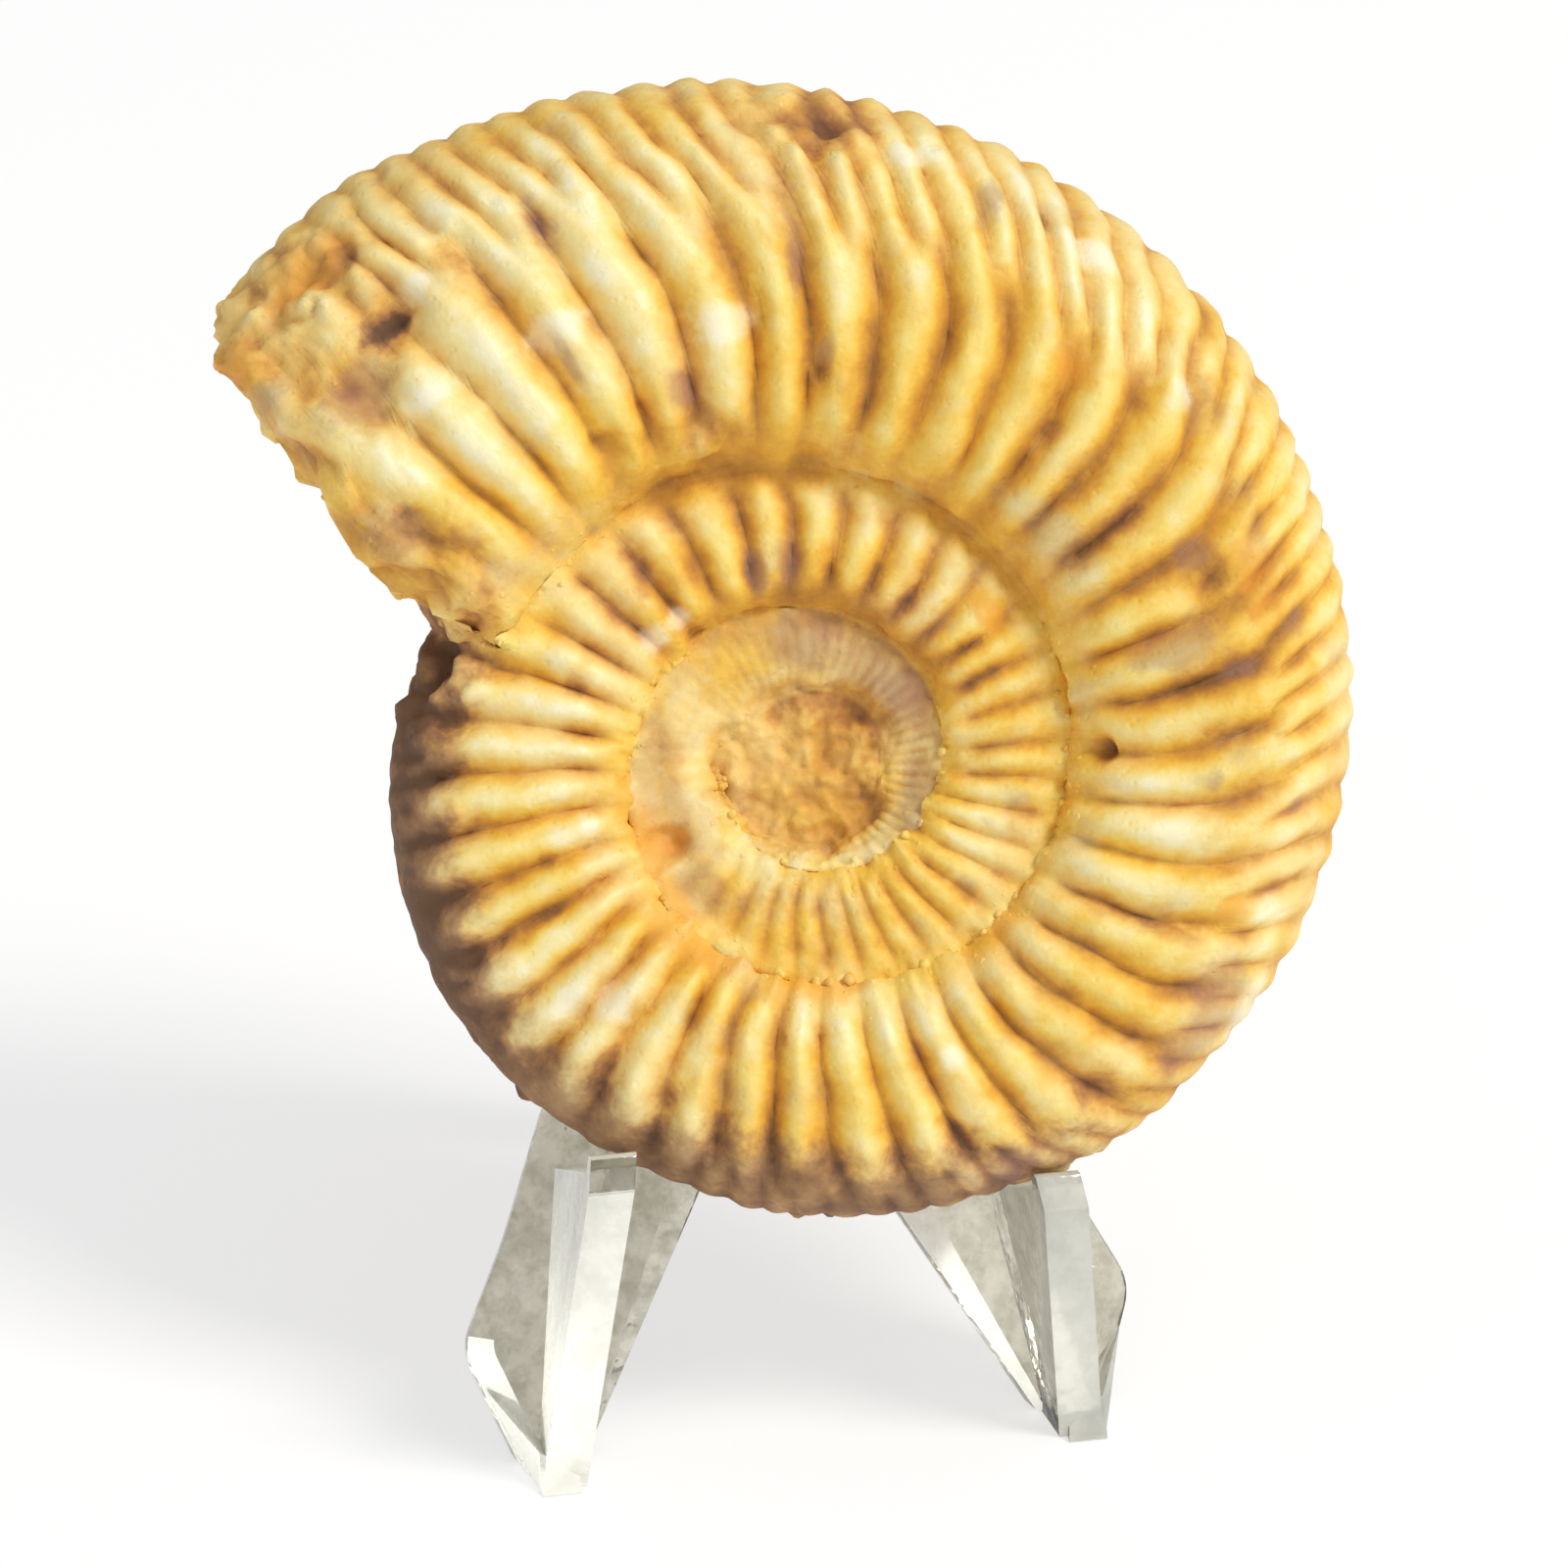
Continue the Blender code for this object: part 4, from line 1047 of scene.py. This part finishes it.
# How each kind of patch moves the number: partly painted shade for brown and purple, partly painted highlight
# for white, and partly painted light for cream.
PATCH_SHIFTS = {
    "cream": -0.16,
    "white": -0.16,
    "brown": 0.12,
    "purple": 0.03,
    "orange": 0.04,
    "gold": 0.02,
}
# The umber mark is dirt and painted shade.
UMBER_SHIFTS = (0.42, -0.08)  # on a crest, and how much more in a groove
BROWN_IN_GROOVES = 0.14
# The white tint is partly painted highlight, the purple tint partly painted shade.
TINTS = {  # how strong, and the colour
    "orange": (0.6, paint(238, 166, 56)),
    "purple": (0.5, paint(162, 120, 106)),
    "white": (0.45, paint(250, 243, 222)),
}


def attribute(tree, name):
    return add(tree, "ShaderNodeAttribute", attribute_name=name).outputs["Fac"]


def colour_ramp(tree, value, stops):
    node = add(tree, "ShaderNodeValToRGB", {0: value})
    elements = node.color_ramp.elements
    while len(elements) < len(stops):
        elements.new(0.5)
    for element, (place, colour) in zip(elements, stops):
        element.position = place
        element.color = paint(*colour)
    return node.outputs[0]


def total(tree, start, *parts):
    """A start value with parts added, each a socket times a share or times another socket."""
    result = start
    for socket, share in parts:
        result = calc(tree, "MULTIPLY_ADD", socket, share, result)
    return result


def patch_masks(tree, here):
    masks = {}
    for seed, kind in enumerate(PATCH_KINDS):
        sockets = {"Place": here, "Mask": attribute(tree, kind), "Size": 1.8, "Raggedness": 0.85}
        masks[kind] = placed(tree, RAGGED, **sockets, Seed=float(seed))
    return masks


def streaks_across(tree, ribbing):
    """Streaks that run along the ribs, weak where there are none."""
    along = calc(tree, "MULTIPLY", attribute(tree, "rib_place"), 0.9)
    outwards = calc(tree, "MULTIPLY", attribute(tree, "across"), 3.5)
    place = add(tree, "ShaderNodeCombineXYZ", {0: along, 1: outwards}).outputs[0]
    streaks = add(tree, "ShaderNodeTexNoise", {"Vector": place, "Scale": 1.7, "Detail": 3.0}).outputs[0]
    return calc(tree, "MULTIPLY", centred(tree, streaks), calc(tree, "MULTIPLY_ADD", ribbing, 0.8, 0.2))


def stain_and_painted_light_sum(tree, clouds, masks):
    """How much iron and dirt the stone took up, with painted shade and highlights added, from 0 to 1."""
    crest = attribute(tree, "crest")
    filled = calc(tree, "MAXIMUM", attribute(tree, "filling"), attribute(tree, "broken"))
    ribbing = calc(tree, "MULTIPLY", attribute(tree, "ribbing"), calc(tree, "SUBTRACT", 1.0, filled))
    low = calc(tree, "MULTIPLY", calc(tree, "SUBTRACT", 0.5, crest), ribbing)
    groove = calc(tree, "MULTIPLY", calc(tree, "SUBTRACT", 1.0, crest), ribbing)
    raised = calc(tree, "MULTIPLY", attribute(tree, "relief"), ramp(tree, filled, 0.0, 1.0, *RELIEF_SHARES))
    sheltered = calc(tree, "ADD", groove, calc(tree, "MAXIMUM", filled, attribute(tree, "rough")))
    umber = calc(tree, "MULTIPLY_ADD", groove, UMBER_SHIFTS[1], UMBER_SHIFTS[0])
    stain_and_painted_light = total(
        tree,
        STAIN_START,
        (low, GROOVE_SHARE),
        (filled, 0.05),
        *[(clouds[size], share) for size, share in CLOUD_SHARES.items()],
        (streaks_across(tree, ribbing), STREAK_SHARE),
        (attribute(tree, "seam"), SEAM_SHARE),
        (attribute(tree, "deep"), DEEP_SHADE_SHARE),
        (raised, 1.0),
        (attribute(tree, "scar"), SCAR_SHARE),
        *[(masks[kind], shift) for kind, shift in PATCH_SHIFTS.items()],
        (masks["umber"], umber),
        (calc(tree, "MULTIPLY", masks["brown"], BROWN_IN_GROOVES), sheltered),
    )
    return calc(tree, "MINIMUM", calc(tree, "MAXIMUM", stain_and_painted_light, 0.0), 1.0)


def stone_colour(tree, here, clouds, masks, stain_and_painted_light):
    """The stain and painted light as a colour: gilded, weathered and tinted where the masks say so."""
    gold = calc(tree, "MAXIMUM", masks["gold"], calc(tree, "MULTIPLY", attribute(tree, "seam"), 0.85))
    gold = calc(tree, "ADD", gold, ramp(tree, clouds[7.0], -0.06, 0.1, 0.0, 0.75))
    gold = calc(tree, "MINIMUM", gold, 1.0)
    colour = mixed(tree, gold, colour_ramp(tree, stain_and_painted_light, PLAIN_RAMP), colour_ramp(tree, stain_and_painted_light, GOLD_RAMP))
    weathering_and_shade = ramp(tree, cloud(tree, here, 3.4, 4.0, 20.0, 0.6), 0.52, 0.72, 0.0, 0.45)
    # Umber adds its dirt and painted shade to the greyer, weathered colours.
    for kind, share in (("grey", 0.6), ("umber", 0.85)):
        weathering_and_shade = calc(tree, "MAXIMUM", weathering_and_shade, calc(tree, "MULTIPLY", masks[kind], share))
    colour = mixed(tree, weathering_and_shade, colour, colour_ramp(tree, stain_and_painted_light, WEATHERED_RAMP))
    for kind, (strength, tint) in TINTS.items():
        colour = mixed(tree, calc(tree, "MULTIPLY", masks[kind], strength), colour, tint)
    return colour


def stone_material(name):
    material = bpy.data.materials.new(name)
    material.use_nodes = True
    tree = material.node_tree
    surface = tree.nodes["Principled BSDF"]
    here = tree.nodes.new("ShaderNodeTexCoord").outputs["Object"]
    clouds = {size: centred(tree, cloud(tree, here, size, 4.0, size, 0.6)) for size in CLOUD_SHARES}
    masks = patch_masks(tree, here)
    stain_and_painted_light = stain_and_painted_light_sum(tree, clouds, masks)
    tree.links.new(stone_colour(tree, here, clouds, masks, stain_and_painted_light), surface.inputs["Base Color"])
    tree.links.new(ramp(tree, stain_and_painted_light, 0.1, 0.8, 0.46, 0.78), surface.inputs["Roughness"])
    grain = placed(tree, GRAIN, Place=here, Size=0.45, Pits=0.5)
    bump = add(tree, "ShaderNodeBump", {"Strength": 0.5, "Distance": 0.00012, "Height": grain})
    tree.links.new(bump.outputs[0], surface.inputs["Normal"])
    return material


shell_stone = stone_material("fossil_stone")

# %% Wind the shell and raise its ribs
ammonite = new_object("ammonite_shell", base_mesh())
run_tree(ammonite, rib_tree(), {**RIB_SETTINGS, "Stone": shell_stone})
ammonite.data.shade_smooth()
ammonite.data.set_sharp_from_angle(angle=math.radians(85))
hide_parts("ammonite")
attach(ammonite, "root")
print("shell:", sum(len(face.vertices) - 2 for face in ammonite.data.polygons), "triangles")

# %% [markdown]
# ## Crumbs in the seams
#
# The seams, the rough places and the broken mouth are packed with crumbs of stone. A second tree scatters
# points where the marks say that the stone is crumbly, and sets a small uneven lump on each, turned and
# sized at random from a fixed seed. A crumb takes over the marks of the place where it lies, so it has the
# same stain and painted shade.

# %% The crumb tree
CRUMB_SETTINGS = {  # crumbs in a square millimetre, radii in millimetres, and the share of one that is sunk
    "Density": 2.0,
    "Smallest": 0.16,
    "Largest": 0.36,
    "Sink": 0.75,
}
CRUMB_SEED = 11
CRUMB_PLACES = {"seam": 0.9, "rough": 0.2, "broken": 0.2}


def crumb_tree():
    seed = ("NodeSocketInt", CRUMB_SEED)
    tree, given, put_out = dressing_tree("stone_crumbs", CRUMB_SETTINGS, Seed=seed)
    dial = given.outputs
    where = 0.0
    for name, share in CRUMB_PLACES.items():
        where = calc(tree, "MAXIMUM", where, calc(tree, "MULTIPLY", named(tree, name), share))
    where = calc(tree, "SUBTRACT", where, calc(tree, "MULTIPLY", named(tree, "deep"), 0.6))
    where = calc(tree, "POWER", calc(tree, "MAXIMUM", where, 0.0), 1.5)
    density = calc(tree, "MULTIPLY", where, calc(tree, "DIVIDE", dial["Density"], MM * MM))
    scatter = {"Mesh": dial["Geometry"], "Density": density, "Seed": dial["Seed"]}
    points = add(tree, "GeometryNodeDistributePointsOnFaces", scatter, distribute_method="RANDOM")

    lump = add(tree, "GeometryNodeMeshIcoSphere", {"Radius": 1.0, "Subdivisions": 2}).outputs[0]
    here = tree.nodes.new("GeometryNodeInputPosition").outputs[0]
    dents = add(tree, "ShaderNodeTexNoise", {"Vector": here, "Scale": 1.1, "Detail": 1.0}).outputs["Color"]
    dents = add(tree, "ShaderNodeVectorMath", {0: dents, 1: (0.5, 0.5, 0.6)}, operation="SUBTRACT").outputs[0]
    lump = add(tree, "GeometryNodeSetPosition", {"Geometry": lump, "Offset": dents}).outputs[0]

    chance = {2: 0.0, 3: 1.0, "Seed": calc(tree, "ADD", dial["Seed"], 1.0)}
    chance = add(tree, "FunctionNodeRandomValue", chance, data_type="FLOAT").outputs[1]
    fine = calc(tree, "POWER", chance, 2.0)
    size = calc(tree, "MULTIPLY", mix_value(tree, fine, dial["Smallest"], dial["Largest"]), MM)
    down = calc(tree, "MULTIPLY", calc(tree, "MULTIPLY", size, dial["Sink"]), -1.0)
    sunk = {0: points.outputs["Normal"], "Scale": down}
    sunk = add(tree, "ShaderNodeVectorMath", sunk, operation="SCALE").outputs[0]
    at = {"Geometry": points.outputs["Points"], "Offset": sunk}
    at = add(tree, "GeometryNodeSetPosition", at).outputs[0]
    turned = {"Min": (0.0, 0.0, 0.0), "Max": (math.tau,) * 3, "Seed": calc(tree, "ADD", dial["Seed"], 2.0)}
    turned = add(tree, "FunctionNodeRandomValue", turned, data_type="FLOAT_VECTOR").outputs[0]
    crumbs = {"Points": at, "Instance": lump, "Rotation": turned, "Scale": size}
    crumbs = add(tree, "GeometryNodeInstanceOnPoints", crumbs).outputs[0]
    finish_tree(tree, crumbs, given, put_out)
    return tree


crumbs = new_object("stone_crumbs", ammonite.data.copy())
run_tree(crumbs, crumb_tree(), {**CRUMB_SETTINGS, "Seed": CRUMB_SEED, "Stone": shell_stone})
crumbs.data.shade_smooth()
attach(crumbs, "root")
print("crumbs:", len(crumbs.data.polygons), "triangles")

# %% [markdown]
# ## The clear easel
#
# The front legs are moulded clear plastic: a leaf-shaped plate with a wide chamfer round its front, and a
# thick rib in front of it that carries the shell. What shows on clear plastic is its edges, so the legs are
# built again here with finer arcs, the full chamfer and softened edges. Light on them is partly painted: the
# facets that look towards the low slit of light get a milky white plastic as a painted highlight, the front
# of the left rib a paler one as a painted reflection, and the right leg's rib a dimmer one as painted shade.
# One looks through the flat panels, which are slightly grey with ripples; their darker cloudy specks are
# painted and stand for the surroundings seen through the rippled plastic. So there are four finishes, from
# see-through to milky, and each facet gets one by where it is and where it looks.

# %% Clear plastic
# The panel is slightly grey; its darker cloudy specks are painted and stand for the surroundings seen through
# rippled plastic. The lit tints are painted highlight, the shaded ones painted shade.
PANEL_TINTS = (paint(228, 224, 208), paint(162, 157, 138))
LIT_TINTS = (paint(252, 251, 242), paint(234, 234, 222))
SHADED_TINTS = (paint(230, 230, 220), paint(208, 209, 200))


def clear_plastic(name, tints, see_through, polish):
    material = bpy.data.materials.new(name)
    material.use_nodes = True
    tree = material.node_tree
    surface = tree.nodes["Principled BSDF"]
    here = tree.nodes.new("ShaderNodeTexCoord").outputs["Object"]
    cloudy = placed(tree, MOTTLING, Place=here, Size=1.3, Amount=0.45, Softness=0.12, Seed=5.0)
    broad = placed(tree, MOTTLING, Place=here, Size=6.0, Amount=0.5, Softness=0.2, Seed=8.0)
    share = calc(tree, "MULTIPLY_ADD", broad, 0.45, calc(tree, "MULTIPLY", cloudy, 0.55))
    tree.links.new(mixed(tree, share, *tints), surface.inputs["Base Color"])
    surface.inputs["Transmission Weight"].default_value = see_through
    surface.inputs["IOR"].default_value = 1.49
    tree.links.new(ramp(tree, share, 0.0, 1.0, *polish), surface.inputs["Roughness"])
    ripple = add(tree, "ShaderNodeTexNoise", {"Vector": here, "Scale": 600.0, "Detail": 2.0}).outputs[0]
    bump = add(tree, "ShaderNodeBump", {"Strength": 0.5, "Distance": 0.0004, "Height": ripple})
    tree.links.new(bump.outputs[0], surface.inputs["Normal"])
    return material


# Copies of the clear plastic carry painted light: a painted reflection on the front of the left rib, painted
# shade on the right leg's rib, and painted highlights on the facets towards the slit.
panel_plastic = clear_plastic("clear_plastic", PANEL_TINTS, 1.0, (0.04, 0.2))
rib_highlight_plastic = clear_plastic("clear_plastic_rib_highlight", LIT_TINTS, 0.5, (0.1, 0.25))
shaded_plastic = clear_plastic("clear_plastic_shaded", SHADED_TINTS, 0.4, (0.1, 0.25))
lit_plastic = clear_plastic("clear_plastic_lit", LIT_TINTS, 0.15, (0.2, 0.4))

# %% The legs
STAND_LEAN = 29.0
STAND_TURN = 12.0
STAND_PLACE = (1.57, -15.51, 0.0)
PLATE = 2.2
FRONT_CHAMFER = (1.3, 0.9)  # across the front and along the depth
BACK_CHAMFER = (0.3, 0.3)
RIB_WIDTH = 2.4
LEG_TOP = 57.0
LEG_OUTLINE = (  # x, height along the plate and corner radius, on the right leg
    (13.1, -3.0, 0.0),
    (15.5, -3.0, 0.0),
    (15.6, -0.6, 0.6),
    (18.4, 6.8, 3.0),
    (15.6, 12.4, 3.0),
    (12.9, 19.0, 4.0),
    (7.4, 30.0, 8.0),
    (5.9, LEG_TOP, 2.0),
    (1.0, LEG_TOP, 1.5),
    (1.4, 30.0, 12.0),
    (2.8, 17.5, 6.0),
    (13.1, -0.8, 0.6),
)
LEDGE_TOPS = {"left_leg": 15.6, "right_leg": 12.6}  # as high as the shell lets them be
LEDGE_REACH = {"left_leg": 13.1, "right_leg": 11.6}  # in front of the plate
RIB_X = (13.9, 11.6, 15.0)  # of its middle, at the foot and at this height
# The block between plate and rib, as two outlines at two depths:
FOOT_BACK = ((13.1, -3.2), (15.45, -3.2), (15.6, -0.5), (17.5, 4.6), (13.6, 0.2))
FOOT_FRONT = ((13.1, -3.2), (15.3, -3.2), (15.35, -0.9), (15.35, 0.9), (13.3, -0.6))
FOOT_DEPTHS = (0.7, -2.6)
SOFT_EDGE = 0.14
# Facets that look this way, towards the low slit of light, get the painted highlight of the lit plastic.
LIT_SIDE = Vector((-0.8, 0.0, -0.55))
INNER_CHAMFER = 1.6  # how much wider the chamfer is on the inner side of a leg
NARROWEST = 0.15  # share of the chamfer that is left at the narrow ends
RIB_FRONT = -0.3  # what lies further forward than this belongs to the rib, not the plate
FOOT_HEIGHT = 4.0
STRAIGHT_ON = -0.95  # a facet that looks further forward than this faces the front
PANEL, FRONT_HIGHLIGHT, LIT, SHADED = range(4)  # the plastics, in the order of a leg's materials

leg_lean = Matrix.Rotation(math.radians(-STAND_LEAN), 4, "X")
easel_turn = Matrix.Rotation(math.radians(STAND_TURN), 4, "Z") @ leg_lean
easel_place = Matrix.Translation(Vector(STAND_PLACE)) @ easel_turn


def rounded_outline(corners, steps=8):
    """Corners (across, up, radius) with each radius drawn as an arc."""
    points = []
    for index, (x, z, radius) in enumerate(corners):
        here = Vector((x, z))
        if radius == 0.0:
            points.append(here)
            continue
        before = Vector(corners[index - 1][:2]) - here
        after = Vector(corners[(index + 1) % len(corners)][:2]) - here
        reach = radius / math.tan(before.angle(after) / 2.0)
        reach = min(reach, 0.45 * before.length, 0.45 * after.length)
        start = here + before.normalized() * reach
        end = here + after.normalized() * reach
        for step in range(steps + 1):
            share = step / steps
            points.append(start.lerp(here, share).lerp(here.lerp(end, share), share))
    return points


def drawn_in(points, width):
    """An outline moved inwards, less so at the narrow ends. Its points run counter-clockwise."""
    inner = []
    for index, here in enumerate(points):
        along = (points[(index + 1) % len(points)] - points[index - 1]).normalized()
        full = 1.0 if along.y > 0.3 else INNER_CHAMFER * float(smooth(0.0, 3.0, here.y))
        share = NARROWEST + (1.0 - NARROWEST) * float(smooth(LEG_TOP, LEG_TOP - 4.0, here.y)) * full
        inner.append(here + Vector((-along.y, along.x)) * width * share)
    return inner


def closed_form(rings):
    """A closed solid through rings of positions, all with the same number of points."""
    bm = bmesh.new()
    rows = [[bm.verts.new(position) for position in ring] for ring in rings]
    for low, high in zip(rows, rows[1:]):
        for index in range(len(low)):
            bm.faces.new((low[index - 1], low[index], high[index], high[index - 1]))
    bm.faces.new(rows[0])
    bm.faces.new(rows[-1][::-1])
    bmesh.ops.recalc_face_normals(bm, faces=bm.faces)
    return bm


def plate_form():
    outline = rounded_outline(LEG_OUTLINE)
    levels = (
        (FRONT_CHAMFER[0], 0.0),
        (0.0, FRONT_CHAMFER[1]),
        (0.0, PLATE - BACK_CHAMFER[1]),
        (BACK_CHAMFER[0], PLATE),
    )
    rings = [[Vector((p.x, depth, p.y)) for p in drawn_in(outline, width)] for width, depth in levels]
    return closed_form(rings)


def rib_form(top, reach):
    profile = (
        (-2.0, -4.0, 0.0),
        (-2.0, -1.0, 0.5),
        (-reach, top - 1.9, 0.5),
        (-reach, top, 0.4),
        (0.8 - reach, top + 0.1, 0.4),
        (1.4 - reach, top - 0.7, 0.4),
        (1.0, top + 0.3, 0.0),
        (1.0, -4.0, 0.0),
    )
    low, high, height = RIB_X
    outline = [(low + (high - low) * z / height, y, z) for y, z in rounded_outline(profile)]
    half = RIB_WIDTH / 2.0
    return closed_form([[Vector((x + across, y, z)) for x, y, z in outline] for across in (-half, half)])


def foot_form():
    """The block at the foot in which the plate and the rib come together."""
    levels = zip((FOOT_BACK, FOOT_FRONT), FOOT_DEPTHS)
    return closed_form([[Vector((x, depth, z)) for x, z in ring] for ring, depth in levels])


def joined(first, second):
    """Two closed forms as one mesh."""
    things = []
    for bm in (first, second):
        mesh = bpy.data.meshes.new("form")
        bm.to_mesh(mesh)
        bm.free()
        things.append(new_object("form", mesh))
    union = things[0].modifiers.new("union", "BOOLEAN")
    union.operation = "UNION"
    union.solver = "EXACT"
    union.object = things[1]
    graph = bpy.context.evaluated_depsgraph_get()
    bm = bmesh.new()
    bm.from_mesh(things[0].evaluated_get(graph).to_mesh())
    for thing in things:
        bpy.data.objects.remove(thing)
    return bm


def cut_at_table(bm):
    geometry = bm.verts[:] + bm.edges[:] + bm.faces[:]
    cut = bmesh.ops.bisect_plane(bm, geom=geometry, plane_co=(0, 0, 0), plane_no=(0, 0, 1), clear_inner=True)
    rim = [item for item in cut["geom_cut"] if isinstance(item, bmesh.types.BMEdge)]
    bmesh.ops.contextual_create(bm, geom=rim)
    bmesh.ops.recalc_face_normals(bm, faces=bm.faces)


def plastic_of(face, side):
    """Which plastic a facet shows, from where it looks in the easel's own frame: painted highlight towards
    the slit and on the foot of the left rib, a painted reflection on the rest of that rib's front, and
    painted shade on the right leg's rib.
    """
    looks = easel_turn.to_3x3().inverted() @ face.normal
    middle = easel_place.inverted() @ (face.calc_center_median() / MM)
    if middle.y < RIB_FRONT:
        if looks.x < -0.7:
            return LIT if side < 0 else PANEL
        if side > 0:
            return SHADED
        if middle.z < FOOT_HEIGHT:
            return LIT
        return PANEL if looks.y < STRAIGHT_ON else FRONT_HIGHLIGHT
    chamfer = looks.y < -0.2 and looks.y > STRAIGHT_ON
    return LIT if chamfer and looks.dot(LIT_SIDE) > 0.35 else PANEL


def clear_leg(node, side):
    bm = joined(joined(plate_form(), foot_form()), rib_form(LEDGE_TOPS[node], LEDGE_REACH[node]))
    bmesh.ops.scale(bm, vec=(side, 1.0, 1.0), verts=bm.verts)
    bmesh.ops.transform(bm, matrix=easel_place, verts=bm.verts)
    bmesh.ops.scale(bm, vec=(MM, MM, MM), verts=bm.verts)
    cut_at_table(bm)
    bmesh.ops.remove_doubles(bm, verts=bm.verts, dist=1e-6)
    bm.normal_update()
    for face in bm.faces:
        face.material_index = plastic_of(face, side)
    mesh = bpy.data.meshes.new(node + "_clear")
    bm.to_mesh(mesh)
    bm.free()
    for plastic in (panel_plastic, rib_highlight_plastic, lit_plastic, shaded_plastic):
        mesh.materials.append(plastic)
    leg = new_object(node + "_clear", mesh)
    edge = leg.modifiers.new("soft_edges", "BEVEL")
    edge.width = SOFT_EDGE * MM
    edge.segments = 2
    edge.limit_method = "ANGLE"
    edge.angle_limit = math.radians(28)
    graph = bpy.context.evaluated_depsgraph_get()
    leg.data = bpy.data.meshes.new_from_object(leg.evaluated_get(graph), depsgraph=graph)
    leg.modifiers.clear()
    leg.data.shade_smooth()
    leg.data.set_sharp_from_angle(angle=math.radians(30))
    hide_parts(node)
    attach(leg, "root")
    print(node, len(leg.data.polygons), "faces")


clear_leg("left_leg", -1)
clear_leg("right_leg", 1)
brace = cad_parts["rear_brace"]
brace.data.materials.clear()
brace.data.materials.append(panel_plastic)

# %% Print both boxes and finish
seen_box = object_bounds()
for low_high, name in ((cad_box, "solids"), (seen_box, "scene")):
    print(name, [[round(value * 1000, 2) for value in corner] for corner in low_high])
